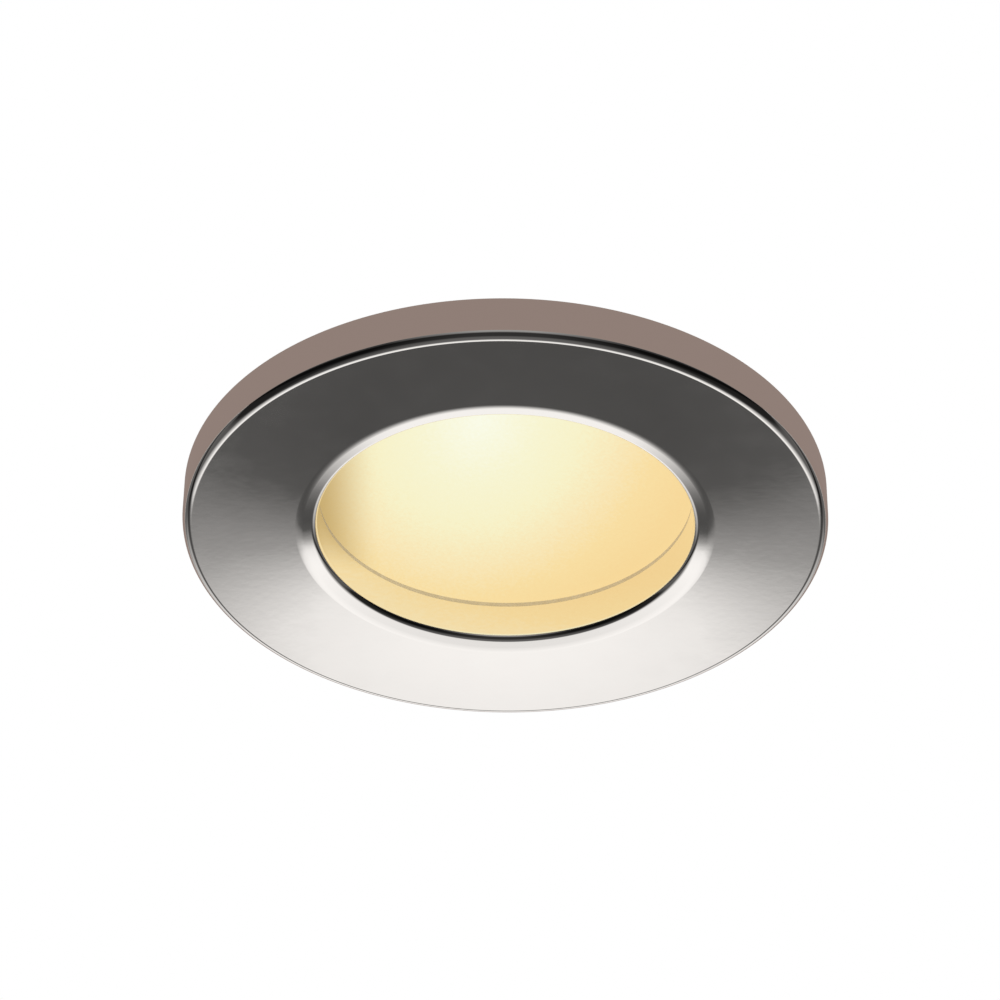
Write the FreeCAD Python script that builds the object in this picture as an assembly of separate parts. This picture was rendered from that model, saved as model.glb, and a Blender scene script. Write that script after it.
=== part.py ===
import FreeCAD, Part

import math
import os

from FreeCAD import Vector

# Recessed soffit downlight for one 50 mm reflector lamp, in millimetres.
# The origin is the centre of the cut-out on the underside of the ceiling board: +Z goes up into the
# soffit, and the bezel hangs below Z = 0. The two spring clips stand on the +X and -X sides.

# ---------------------------------------------------------------- driving dimensions

# finishing radii, and how far a feature that is fused on runs into the body that carries it
EDGE_R = 0.4
BREAK_R = 0.3
CAST_R = 0.8
CAST_FILLET_R = 1.5
ROOT = 1.0

# screws: thread diameter, head diameter, head height
M3 = (3.0, 5.5, 1.7)
M25 = (2.5, 4.5, 1.4)
SCREW_CLEAR = 0.05
SCREW_PASS = 0.2
SCREW_END = 1.0
SOCKET_DEPTH = 0.9

# lamp, seat and wire ring: the lamp's rim sets every diameter outside it
LAMP_D = 50.7
LAMP_RIM_T = 1.8
LAMP_CLEAR = 0.55
LAMP_LENGTH = 37.0
LAMP_BASE_H = 11.0
LAMP_SHELL = 1.4
LAMP_COVER_T = 1.3
LAMP_NECK_WALL = 3.5
LAMP_NECK_H = 3.0
CAPSULE_D = 8.8
CAPSULE_CLEAR = 0.6
CAPSULE_WALL = 0.8
CAPSULE_H = 17.0
CAPSULE_PINCH_H = 7.5
CAPSULE_PINCH_R = 3.0
FILAMENT_WIRE_D = 0.3
FILAMENT_R = 0.9
FILAMENT_TURNS = 4
FILAMENT_PITCH = 0.9
SHOULDER_LAP = 1.15
SHOULDER_T = 2.0
RING_RISE = 1.6
RING_WIRE_D = 1.4
RING_GAP_DEG = 36.0
RING_EAR = 3.0
RING_EAR_BEND = 1.6

# front glass and its U-section gasket
GLASS_T = 4.0
GLASS_LEDGE = 1.7
GLASS_LAP = 2.8
GLASS_SETBACK = 6.0
GASKET_T = 0.8
GASKET_LEG_T = 0.6
GASKET_LEG_STEP = 0.1

# threaded collar and neck, and the hole in the ceiling board that the neck and folded clips pass
COLLAR_WALL = 1.6
COLLAR_END_GAP = 0.4
THREAD_CLEAR = 0.25
NECK_WALL = 2.75
NECK_RISE = 2.4
NECK_CLEAR = 3.5

# ceiling flange and gasket
FLANGE_T = 2.0
FLANGE_CLEAR = 1.3
FLANGE_GAP = 1.4
CEILING_GASKET_T = 1.0
CEILING_GASKET_REACH = 2.0
CEILING_GASKET_EDGE = 0.5

# bezel
BEZEL_LAP = 6.0
BEZEL_WALL = 1.7
BEZEL_EDGE_R = 1.2
LIP_RISE = 1.1
LIP_R = 0.9
LIP_BLEND_WIDTH = 2.4
LIP_BLEND_DROP = 0.4
LIP_BLEND_R = 8.0
RIM_GAP = 0.1

# can and fins
CAN_STEP = 1.1
CAN_WALL = 2.0
FIN_DEPTH = 3.2
FIN_T = 1.5
FIN_TIP_R = 1.2
FIN_PITCH_DEG = 11.25
FIN_START_Z = 13.5
BAY_CLEAR = 1.5

# rear cover and its seal
TOP_FLANGE_T = 4.0
COVER_T = 3.5
COVER_SPIGOT = 1.5
SPIGOT_CLEAR = 0.2
COVER_EDGE = 0.4
COVER_GLAND_LAND = 1.5
COVER_GLAND_RISE = 1.2
COVER_RIB_COUNT = 4
ORING_W = 1.3
ORING_DEPTH = 1.2
ORING_WALL = 1.1
ORING_CLEAR = 0.05
ORING_R = 0.35
COVER_SCREW_COUNT = 4
COVER_SCREW_LAND = 0.3
COVER_SCREW_LENGTH = 9.5
COVER_BOSS_D = 6.0
COVER_BOSS_LENGTH = 12.0
COVER_BOSS_CONE = 4.0

# cable gland
GLAND_THREAD_D = 16.0
GLAND_THREAD_END = 1.0
GLAND_HEX = 19.0
GLAND_HEX_T = 5.0
GLAND_STEM = 9.0
GLAND_STEM_D = 15.0
GLAND_BORE_D = 11.0
GLAND_INSERT_D = 12.4
GLAND_INSERT_H = 8.0
GLAND_INSERT_CONE = 1.6
GLAND_CABLE_D = 6.5
GLAND_SEAL_T = 1.5
GLAND_SEAL_D = 22.0
GLAND_NUT_T = 3.5
GLAND_NUT_HEX = 20.0
GLAND_NUT_SPACE = 1.0
GLAND_CAP_GAP = 0.6
GLAND_CAP_H = 13.0
GLAND_CAP_WALL = 1.4
GLAND_CAP_SKIRT = 1.1
GLAND_CAP_NOSE = 4.5
GLAND_CLEAR = 0.1

# lampholder and its plate
PIN_PITCH = 5.3
PIN_D = 1.5
PIN_LENGTH = 7.3
PIN_ROOT = 5.0
PIN_SLEEVE_WALL = 0.55
PIN_CLEAR = 0.1
HOLDER_X = 20.0
HOLDER_Y = 14.0
HOLDER_CORNER_R = 3.0
HOLDER_GAP = 0.4
HOLDER_FRONT = 1.2
HOLDER_BACK = 1.0
POCKET_SPARE = 1.7
HOLDER_SCREW_PITCH = 13.0
HOLDER_SCREW_LENGTH = 6.0
PLATE_T = 1.2
PLATE_CLEAR = 0.4
PLATE_BOSS_D = 6.4
PLATE_BOSS_H = 12.0
PLATE_BOSS_INSET = 4.0
PLATE_SCREW_LENGTH = 7.2
VENT_R = 2.2
VENT_INSET = 7.5

# terminal block and internal leads
BLOCK_Y = 12.0
BLOCK_H = 9.0
BLOCK_CLEAR = 1.75
BLOCK_WALL = 1.8
BLOCK_CHAMFER = 0.8
BLOCK_SCREW_UP = 5.4
BLOCK_SCREW_LENGTH = 8.1
POLE_PITCH = 12.0
CLAMP_PITCH = 6.4
TUBE_D = 4.4
TUBE_BORE = 2.6
TUBE_UP = 4.3
TUBE_END_GAP = 0.5
GRUB_BELOW_TOP = 0.6
GRUB_SLOT_W = 0.5
GRUB_SLOT_DEPTH = 0.8
LEAD_D = 2.2
LEAD_OUT = 4.5
LEAD_UP = 4.3
LEAD_BEND = 3.5

# spring clips: the pin sets the spring, the spring sets how far the arm and the pad stand off it
PAD_CUT = 0.4
PAD_MARGIN = 1.0
PAD_BELOW = 3.5
PAD_ABOVE = 2.5
BRACKET_T = 1.0
BRACKET_BELOW = 6.0
BRACKET_ABOVE = 18.5
BRACKET_SIDE = 0.5
BRACKET_CORNER_R = 2.0
BRACKET_SCREW_UP = (8.5, 15.0)
BRACKET_SCREW_LENGTH = 4.4
BRACKET_BOSS_D = 6.0
BRACKET_BOSS_INSIDE = 3.0
PIVOT_Z = 24.0
PIVOT_D = 2.2
PIVOT_HEAD_RIM = 0.7
PIVOT_HEAD_T = 0.8
PIVOT_CLEAR = 0.05
EAR_T = 1.0
EAR_RIM = 1.3
EAR_ROOT_BELOW = 1.2
EAR_ROOT_ABOVE = 2.6
STOP_W = 6.0
STOP_REACH = 2.9
STOP_GAP = 0.25
ARM_T = 0.8
ARM_W = 10.6
ARM_SIDE_CLEAR = 0.6
ARM_SPRING_CLEAR = 0.15
ARM_TUCK = 1.15
ARM_LENGTH = 33.0
ARM_STRAIGHT = 7.9
ARM_JOG = 6.0
ARM_BEND_R = 4.0
ARM_TOE = 3.2
ARM_TOE_RISE = 3.3
ARM_TOE_R = 3.0
ARM_OPEN_DEG = 115.0
LUG_T = 0.9
LUG_RIM = 1.2
LUG_LENGTH = 8.0
LUG_CLEAR = 0.1
TIP_LENGTH = 9.0
TIP_PAST_TOE = 3.0
TIP_T = 0.8
TIP_EDGE_R = 0.6
SPRING_WIRE_D = 0.8
SPRING_TURNS = 4
SPRING_TURN_GAP = 0.46
SPRING_ON_PIN = 0.4
SPRING_BACK_CLEAR = 0.5
SPRING_LEG_CLEAR = 0.03
SPRING_LEG_UP = 5.6
SPRING_LEG_OUT = 7.2

# ---------------------------------------------------------------- places that follow from them

X_AXIS = Vector(1, 0, 0)
Y_AXIS = Vector(0, 1, 0)
Z_AXIS = Vector(0, 0, 1)
ORIGIN = Vector(0, 0, 0)
SAME_POINT = 1e-6
SIDES = (-1, 1)

R_LAMP = LAMP_D / 2
R_THROAT = R_LAMP + LAMP_CLEAR
R_SHOULDER = R_LAMP - SHOULDER_LAP
R_GLASS = R_THROAT + GLASS_LEDGE
R_APERTURE = R_GLASS - GLASS_LAP
R_COLLAR_IN = R_GLASS + GASKET_T
R_COLLAR = R_COLLAR_IN + COLLAR_WALL
R_THREAD = R_COLLAR + THREAD_CLEAR
R_NECK = R_THREAD + NECK_WALL
R_CUT_OUT = R_NECK + NECK_CLEAR
R_BEZEL = R_CUT_OUT + BEZEL_LAP
R_FLANGE = R_BEZEL - BEZEL_WALL - FLANGE_CLEAR
R_CAN_IN = R_THROAT + CAN_STEP
R_CAN = R_CAN_IN + CAN_WALL
R_FIN = R_CAN + FIN_DEPTH
R_GROOVE = R_CAN_IN + ORING_WALL
R_COVER_SCREW = R_GROOVE + ORING_W + M3[0] / 2 + COVER_SCREW_LAND
R_TOP_FLANGE = R_COVER_SCREW + M3[1] / 2 + COVER_EDGE
R_PLATE_BOSS = R_CAN_IN - PLATE_BOSS_INSET
R_LAMP_BORE = CAPSULE_D / 2 + CAPSULE_CLEAR
R_LAMP_NECK = R_LAMP_BORE + LAMP_NECK_WALL
R_PIN_HOLE = PIN_D / 2 + PIN_CLEAR

Z_FLANGE = -CEILING_GASKET_T - FLANGE_T
Z_FACE = Z_FLANGE - FLANGE_GAP - BEZEL_WALL
Z_LIP = Z_FACE + LIP_RISE
Z_GLASS = Z_LIP + GLASS_SETBACK
Z_GLASS_BACK = Z_GLASS + GLASS_T
Z_SEAT = Z_GLASS - GASKET_LEG_T
Z_LEDGE = Z_GLASS_BACK + GASKET_LEG_T
Z_COLLAR_END = Z_LEDGE - COLLAR_END_GAP

Z_RING = Z_LEDGE + RING_RISE
Z_LAMP = Z_RING + RING_WIRE_D
Z_SHOULDER = Z_LAMP + LAMP_RIM_T
Z_LAMP_BACK = Z_LAMP + LAMP_LENGTH
Z_LAMP_FOOT = Z_LAMP_BACK - LAMP_BASE_H
Z_HOLDER = Z_LAMP_BACK + HOLDER_GAP
Z_PLATE = Z_LAMP_BACK + PIN_LENGTH + POCKET_SPARE + HOLDER_BACK
Z_PLATE_TOP = Z_PLATE + PLATE_T
Z_TUBE = Z_PLATE_TOP + TUBE_UP
Z_LEAD = Z_HOLDER + LEAD_UP
Z_BLOCK_TOP = Z_PLATE_TOP + BLOCK_H
Z_GLAND_END = Z_BLOCK_TOP + GLAND_NUT_SPACE
Z_COVER = Z_GLAND_END + GLAND_THREAD_END + GLAND_NUT_T + COVER_SPIGOT
Z_COVER_TOP = Z_COVER + COVER_T
Z_TOP_FLANGE = Z_COVER - TOP_FLANGE_T
Z_GLAND_SEAL = Z_COVER_TOP + COVER_GLAND_RISE
Z_GLAND_HEX = Z_GLAND_SEAL + GLAND_SEAL_T
Z_GLAND_STEM = Z_GLAND_HEX + GLAND_HEX_T
Z_GLAND_TOP = Z_GLAND_STEM + GLAND_STEM
Z_INSERT = Z_GLAND_TOP - GLAND_INSERT_H

BLOCK_X = POLE_PITCH + TUBE_D + 2 * BLOCK_WALL
Y_BLOCK = M25[1] / 2 + BLOCK_CLEAR + BLOCK_Y / 2
Y_LEAD = -HOLDER_Y / 2 - LEAD_OUT
X_LEAD = POLE_PITCH / 2

SPRING_PITCH = SPRING_WIRE_D + SPRING_TURN_GAP
SPRING_R = PIVOT_D / 2 + SPRING_ON_PIN + SPRING_WIRE_D / 2
SPRING_OUTER_R = SPRING_R + SPRING_WIRE_D / 2
PIVOT_OUT = SPRING_OUTER_R + SPRING_BACK_CLEAR
ARM_OUT = SPRING_OUTER_R + ARM_SPRING_CLEAR + ARM_T / 2
LUG_R = PIVOT_D / 2 + LUG_RIM
EAR_R = PIVOT_D / 2 + EAR_RIM
EAR_GAP = ARM_W + 2 * ARM_SIDE_CLEAR
BRACKET_Y = EAR_GAP + 2 * EAR_T + 2 * BRACKET_SIDE
PAD_Y = BRACKET_Y + 2 * PAD_MARGIN
PAD_Z = (PIVOT_Z - BRACKET_BELOW - PAD_BELOW, PIVOT_Z + BRACKET_ABOVE + PAD_ABOVE)
X_PAD = R_CAN - PAD_CUT
X_PIVOT = X_PAD + BRACKET_T + PIVOT_OUT
CLIP_BAY_DEG = math.degrees(math.asin((PAD_Y / 2 + BAY_CLEAR) / R_FIN))

# ---------------------------------------------------------------- small geometry helpers


def tangent_arc(start, corner, end):
    """The arc from start to end whose tangents meet at corner."""
    middle = (start + end) * 0.5
    half_chord = (end - start).Length / 2
    to_corner = corner - middle
    quarter_turn = math.atan2(to_corner.Length, half_chord) / 2
    top = middle + to_corner * (half_chord * math.tan(quarter_turn) / to_corner.Length)
    return Part.Arc(start, top, end).toShape()


def rounded_path(points, radii, closed=True):
    """Straight edges through points, with each corner rounded to its radius (0 keeps it sharp)."""
    count = len(points)
    starts, ends, arcs = list(points), list(points), [None] * count
    for i in range(count):
        if radii[i] <= 0 or (not closed and i in (0, count - 1)):
            continue
        before = (points[i - 1] - points[i]).normalize()
        after = (points[(i + 1) % count] - points[i]).normalize()
        turn = math.pi - before.getAngle(after)
        setback = radii[i] * math.tan(turn / 2)
        starts[i] = points[i] + before * setback
        ends[i] = points[i] + after * setback
        arcs[i] = tangent_arc(starts[i], points[i], ends[i])
    edges = []
    for i in range(count):
        if arcs[i]:
            edges.append(arcs[i])
        if closed or i < count - 1:
            following = starts[(i + 1) % count]
            if (following - ends[i]).Length > SAME_POINT:
                edges.append(Part.makeLine(ends[i], following))
    return Part.Wire(Part.__sortEdges__(edges))


def profile_xz(corners):
    """A face in the XZ plane from (x, z) or (x, z, corner radius) entries."""
    points = [Vector(c[0], 0, c[1]) for c in corners]
    radii = [c[2] if len(c) > 2 else 0 for c in corners]
    return Part.Face(rounded_path(points, radii))


def turned(corners):
    """A solid of revolution about Z from a profile of (r, z) corners."""
    return profile_xz(corners).revolve(ORIGIN, Z_AXIS, 360)


def ring(r_in, r_out, z_low, z_high):
    """A plain tube, or a disc when r_in is 0."""
    outer = Part.makeCylinder(r_out, z_high - z_low, Vector(0, 0, z_low))
    if r_in <= 0:
        return outer
    return outer.cut(Part.makeCylinder(r_in, z_high - z_low, Vector(0, 0, z_low)))


def block(x_low, x_high, y_low, y_high, z_low, z_high):
    size = (x_high - x_low, y_high - y_low, z_high - z_low)
    return Part.makeBox(*size, Vector(x_low, y_low, z_low))


def plate_xz(corners, y_mid, thickness):
    """A flat plate across Y, cut to a profile in the XZ plane."""
    plate = profile_xz(corners).extrude(Vector(0, thickness, 0))
    plate.translate(Vector(0, y_mid - thickness / 2, 0))
    return plate


def hexagon(across_flats, z_low, z_high):
    """A hexagonal prism whose corners are turned down at both ends."""
    corner_r = across_flats / math.sqrt(3)
    corner_drop = 0.9
    crown_r = across_flats / 2 * 0.97
    corners = [Vector(corner_r * math.cos(a), corner_r * math.sin(a), z_low)
               for a in (math.radians(60 * k) for k in range(6))]
    prism = Part.Face(Part.makePolygon(corners + corners[:1])).extrude(Vector(0, 0, z_high - z_low))
    dome = turned([(0, z_low), (crown_r, z_low), (corner_r, z_low + corner_drop),
                   (corner_r, z_high - corner_drop), (crown_r, z_high), (0, z_high)])
    return prism.common(dome)


def on_circle(radius, degrees, z=0):
    angle = math.radians(degrees)
    return Vector(radius * math.cos(angle), radius * math.sin(angle), z)


def around(shape, degrees):
    copy = shape.copy()
    copy.rotate(ORIGIN, Z_AXIS, degrees)
    return copy


def group(shapes):
    return Part.makeCompound(shapes)


def screw(size, length, seat, direction):
    """A pan-head screw whose head sits on seat and whose shank points along direction."""
    thread_d, head_d, head_h = size
    crown = head_h * 0.45
    socket_flats = head_d * 0.42
    head = turned([(0, 0), (head_d / 2, 0), (head_d / 2, head_h, crown), (0, head_h)])
    shank = turned([(0, head_h / 4), (thread_d / 2, head_h / 4), (thread_d / 2, BREAK_R - length),
                    (thread_d / 2 - BREAK_R, -length), (0, -length)])
    socket = hexagon(socket_flats, head_h - SOCKET_DEPTH, head_h + ROOT)
    solid = head.fuse(shank).cut(socket).removeSplitter()
    turn = FreeCAD.Rotation(Z_AXIS, direction * -1)
    solid.Placement = FreeCAD.Placement(seat, turn)
    return solid


def screw_hole(size, depth, seat, direction, clearance=SCREW_CLEAR):
    """A round hole from seat along direction. Down into a face, seat may lie a little above it."""
    return Part.makeCylinder(size[0] / 2 + clearance, depth, seat, direction)


def rod_y(radius, length, x, y, z):
    """A cylinder along +Y from (x, y, z)."""
    return Part.makeCylinder(radius, length, Vector(x, y, z), Y_AXIS)


def tube_along(wire, radius):
    """A round solid swept along a smooth wire."""
    start = wire.Edges[0].valueAt(wire.Edges[0].FirstParameter)
    tangent = wire.Edges[0].tangentAt(wire.Edges[0].FirstParameter)
    if (wire.OrderedVertexes[0].Point - start).Length > SAME_POINT:
        start = wire.OrderedVertexes[0].Point
        tangent = wire.Edges[0].tangentAt(wire.Edges[0].LastParameter) * -1
    section = Part.Wire(Part.makeCircle(radius, start, tangent))
    return wire.makePipeShell([section], True, False)


# ---------------------------------------------------------------- bezel, glass and gaskets


def make_bezel():
    """Dished face, rolled lip and polished bore, with the threaded collar behind."""
    blend_r = R_APERTURE + LIP_BLEND_WIDTH
    face_inside = Z_FACE + BEZEL_WALL
    return turned([
        (R_APERTURE, Z_SEAT, BREAK_R / 2),
        (R_APERTURE, Z_LIP, LIP_R),
        (blend_r, Z_LIP - LIP_BLEND_DROP, LIP_BLEND_R),
        (R_BEZEL, Z_FACE, BEZEL_EDGE_R),
        (R_BEZEL, -RIM_GAP, BREAK_R),
        (R_BEZEL - BEZEL_WALL, -RIM_GAP),
        (R_BEZEL - BEZEL_WALL, face_inside, CAST_R),
        (R_COLLAR, face_inside + LIP_RISE / 2, EDGE_R),
        (R_COLLAR, Z_COLLAR_END, EDGE_R),
        (R_COLLAR_IN, Z_COLLAR_END, BREAK_R),
        (R_COLLAR_IN, Z_SEAT),
    ])


def make_front_glass():
    """Toughened disc with its edges ground off."""
    return turned([(0, Z_GLASS), (R_GLASS, Z_GLASS, EDGE_R), (R_GLASS, Z_GLASS_BACK, EDGE_R),
                   (0, Z_GLASS_BACK)])


def make_lens_gasket():
    """U-section ring: its front leg seals on the bezel's seat, its back leg on the housing's ledge."""
    leg_in = R_APERTURE + GASKET_LEG_STEP
    return turned([
        (leg_in, Z_SEAT), (R_COLLAR_IN, Z_SEAT), (R_COLLAR_IN, Z_LEDGE), (R_THROAT, Z_LEDGE),
        (R_THROAT, Z_GLASS_BACK), (R_GLASS, Z_GLASS_BACK), (R_GLASS, Z_GLASS), (leg_in, Z_GLASS),
    ])


def make_ceiling_gasket():
    return ring(R_CUT_OUT - CEILING_GASKET_REACH, R_FLANGE - CEILING_GASKET_EDGE, -CEILING_GASKET_T, 0)


# ---------------------------------------------------------------- housing


def fin_angles():
    """Every pitch round the can, except in the two bays that the spring clips fold into."""
    count = round(360 / FIN_PITCH_DEG)
    angles = [(k + 0.5) * FIN_PITCH_DEG for k in range(count)]
    return [a for a in angles if abs((a + 90) % 180 - 90) > CLIP_BAY_DEG]


def cover_screw_angles():
    """Midway between the cover's ribs."""
    return [360 / COVER_SCREW_COUNT * (k + 0.5) for k in range(COVER_SCREW_COUNT)]


def plate_screw_angles():
    """Three, with one behind the terminal block."""
    return [90, 210, 330]


def make_housing():
    """One casting: flange, threaded neck, lamp seat, finned can and the top flange for the cover."""
    r_groove = R_THROAT + RING_WIRE_D / 4
    shoulder_top = Z_SHOULDER + SHOULDER_T
    body = turned([
        (R_THREAD, Z_FLANGE, BREAK_R), (R_FLANGE, Z_FLANGE, CAST_R), (R_FLANGE, -CEILING_GASKET_T),
        (R_NECK, -CEILING_GASKET_T), (R_NECK, Z_LEDGE + NECK_RISE, CAST_FILLET_R),
        (R_CAN, shoulder_top + CAST_FILLET_R, CAST_FILLET_R),
        (R_CAN, Z_TOP_FLANGE - CAST_FILLET_R, CAST_R), (R_TOP_FLANGE, Z_TOP_FLANGE, EDGE_R),
        (R_TOP_FLANGE, Z_COVER), (R_CAN_IN, Z_COVER), (R_CAN_IN, shoulder_top),
        (R_SHOULDER, shoulder_top, EDGE_R), (R_SHOULDER, Z_SHOULDER), (R_THROAT, Z_SHOULDER),
        (R_THROAT, Z_LAMP), (r_groove, Z_LAMP), (r_groove, Z_RING), (R_THROAT, Z_RING),
        (R_THROAT, Z_LEDGE), (R_THREAD, Z_LEDGE),
    ])
    body = body.multiFuse(housing_fins() + clip_pads() + cover_bosses() + plate_bosses())
    return body.cut(housing_cuts()).removeSplitter()


def housing_fins():
    """Upright fins, sloped at the foot, that run up into the top flange."""
    root_r = R_CAN - CAN_WALL / 2
    top = Z_TOP_FLANGE + EDGE_R
    slope_top = FIN_START_Z + FIN_DEPTH * 1.3
    fin = plate_xz([(root_r, FIN_START_Z), (R_CAN, FIN_START_Z), (R_FIN, slope_top, FIN_TIP_R),
                    (R_FIN, top), (root_r, top)], 0, FIN_T)
    return [around(fin, a) for a in fin_angles()]


def bracket_boss_depth():
    return X_PAD - R_CAN_IN + BRACKET_BOSS_INSIDE


def clip_pads():
    """A flat pad on each side for the clip's bracket, with blind bosses inside for its screws."""
    pad = block(R_CAN_IN - ROOT, X_PAD, -PAD_Y / 2, PAD_Y / 2, *PAD_Z)
    pads = [pad.cut(ring(0, R_CAN_IN + CAN_WALL / 4, *PAD_Z))]
    depth = bracket_boss_depth()
    for up in BRACKET_SCREW_UP:
        low = Vector(X_PAD - depth, 0, PIVOT_Z + up)
        pads.append(Part.makeCylinder(BRACKET_BOSS_D / 2, depth, low, X_AXIS))
    return [around(shape, side) for shape in pads for side in (0, 180)]


def cover_bosses():
    """Cone-ended bosses under the top flange for the cover's screws."""
    boss_r = COVER_BOSS_D / 2
    boss = turned([(0, -COVER_BOSS_LENGTH - COVER_BOSS_CONE), (boss_r, -COVER_BOSS_LENGTH),
                   (boss_r, -TOP_FLANGE_T / 2), (0, -TOP_FLANGE_T / 2)])
    return [boss.translated(on_circle(R_COVER_SCREW, a, Z_COVER)) for a in cover_screw_angles()]


def plate_bosses():
    """Three inner bosses, each on a web from the can's wall, that carry the holder plate."""
    low = Z_PLATE - PLATE_BOSS_H
    r = PLATE_BOSS_D / 2
    boss = ring(0, r, low, Z_PLATE).translated(Vector(R_PLATE_BOSS, 0, 0))
    web = block(R_PLATE_BOSS, R_CAN_IN + CAN_WALL / 4, -r, r, low, Z_PLATE)
    return [around(shape, a) for shape in (boss, web) for a in plate_screw_angles()]


def housing_cuts():
    """The bays that the clips fold into, the blind screw holes and the seal's groove."""
    bay = block(X_PAD, R_FIN, -PAD_Y / 2, PAD_Y / 2, FIN_START_Z, Z_TOP_FLANGE - COVER_BOSS_CONE)
    cuts = [around(bay, side) for side in (0, 180)]
    hole_depth = bracket_boss_depth() - CAN_WALL / 4
    for up in BRACKET_SCREW_UP:
        hole = screw_hole(M3, hole_depth, Vector(X_PAD, 0, PIVOT_Z + up), X_AXIS * -1)
        cuts += [around(hole, side) for side in (0, 180)]
    for a in cover_screw_angles():
        seat = on_circle(R_COVER_SCREW, a, Z_COVER)
        cuts.append(screw_hole(M3, COVER_BOSS_LENGTH - SCREW_END, seat, Z_AXIS * -1))
    for a in plate_screw_angles():
        seat = on_circle(R_PLATE_BOSS, a, Z_PLATE)
        cuts.append(screw_hole(M3, PLATE_BOSS_H - SCREW_END, seat, Z_AXIS * -1))
    return cuts + [ring(R_GROOVE, R_GROOVE + ORING_W, Z_COVER - ORING_DEPTH, Z_COVER)]


# ---------------------------------------------------------------- rear cover and cable gland


def make_rear_cover():
    """Cast lid with a locating spigot, a raised land for the gland and four radial ribs."""
    r_gland = GLAND_THREAD_D / 2 + GLAND_CLEAR
    r_land = GLAND_SEAL_D / 2 + COVER_GLAND_LAND
    r_spigot = R_CAN_IN - SPIGOT_CLEAR
    r_rib = R_COVER_SCREW - M3[0] / 2
    lid = turned([
        (r_gland, Z_COVER - COVER_SPIGOT), (r_spigot, Z_COVER - COVER_SPIGOT, EDGE_R), (r_spigot, Z_COVER),
        (R_TOP_FLANGE, Z_COVER), (R_TOP_FLANGE, Z_COVER_TOP, CAST_R),
        (r_land + COVER_GLAND_RISE, Z_COVER_TOP), (r_land, Z_GLAND_SEAL, EDGE_R), (r_gland, Z_GLAND_SEAL),
    ])
    rib_low = Z_COVER_TOP - ROOT
    rib = plate_xz([(r_land - ROOT, rib_low), (r_land - ROOT, Z_GLAND_SEAL), (r_land, Z_GLAND_SEAL),
                    (r_rib, Z_COVER_TOP), (r_rib, rib_low)], 0, FIN_T)
    lid = lid.multiFuse([around(rib, 360 / COVER_RIB_COUNT * k) for k in range(COVER_RIB_COUNT)])
    holes = [screw_hole(M3, COVER_T + 2 * ROOT, on_circle(R_COVER_SCREW, a, Z_COVER_TOP + ROOT), Z_AXIS * -1,
                        SCREW_PASS) for a in cover_screw_angles()]
    return lid.cut(holes).removeSplitter()


def make_cover_o_ring():
    r_in, r_out = R_GROOVE + ORING_CLEAR, R_GROOVE + ORING_W - ORING_CLEAR
    low = Z_COVER - ORING_DEPTH
    return turned([(r_in, low, ORING_R), (r_out, low, ORING_R), (r_out, Z_COVER, ORING_R),
                   (r_in, Z_COVER, ORING_R)])


def make_cover_screws():
    seats = [on_circle(R_COVER_SCREW, a, Z_COVER_TOP) for a in cover_screw_angles()]
    return group([screw(M3, COVER_SCREW_LENGTH, seat, Z_AXIS * -1) for seat in seats])


def make_gland_body():
    """Hexagon, threaded shank through the cover and threaded stem under the cap nut."""
    r_shank, r_stem = GLAND_THREAD_D / 2, GLAND_STEM_D / 2
    solid = hexagon(GLAND_HEX, Z_GLAND_HEX, Z_GLAND_STEM)
    shank = turned([(0, Z_GLAND_END), (r_shank, Z_GLAND_END, CAST_R), (r_shank, Z_GLAND_HEX + ROOT),
                    (0, Z_GLAND_HEX + ROOT)])
    stem = turned([(0, Z_GLAND_STEM - ROOT), (r_stem, Z_GLAND_STEM - ROOT), (r_stem, Z_GLAND_TOP, EDGE_R),
                   (0, Z_GLAND_TOP)])
    bore = ring(0, GLAND_BORE_D / 2, Z_GLAND_END - ROOT, Z_INSERT + ROOT)
    pocket = ring(0, (GLAND_INSERT_D + GLAND_CLEAR) / 2, Z_INSERT, Z_GLAND_TOP + ROOT)
    return solid.multiFuse([shank, stem]).cut([bore, pocket]).removeSplitter()


def make_gland_seal_washer():
    return ring(GLAND_THREAD_D / 2 + GLAND_CLEAR, GLAND_SEAL_D / 2, Z_GLAND_SEAL, Z_GLAND_HEX)


def make_gland_lock_nut():
    top = Z_COVER - COVER_SPIGOT
    low = top - GLAND_NUT_T
    bore = ring(0, (GLAND_THREAD_D + GLAND_CLEAR) / 2, low - ROOT, top + ROOT)
    return hexagon(GLAND_NUT_HEX, low, top).cut(bore)


def make_gland_insert():
    """Rubber sleeve that the cap nut squeezes round the cable."""
    r_cable, r_out = GLAND_CABLE_D / 2, GLAND_INSERT_D / 2
    cone_top = Z_GLAND_TOP + GLAND_INSERT_CONE
    return turned([(r_cable, Z_INSERT), (r_out, Z_INSERT), (r_out, Z_GLAND_TOP),
                   (r_out - GLAND_INSERT_CONE, cone_top, EDGE_R), (r_cable, cone_top)])


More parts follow.
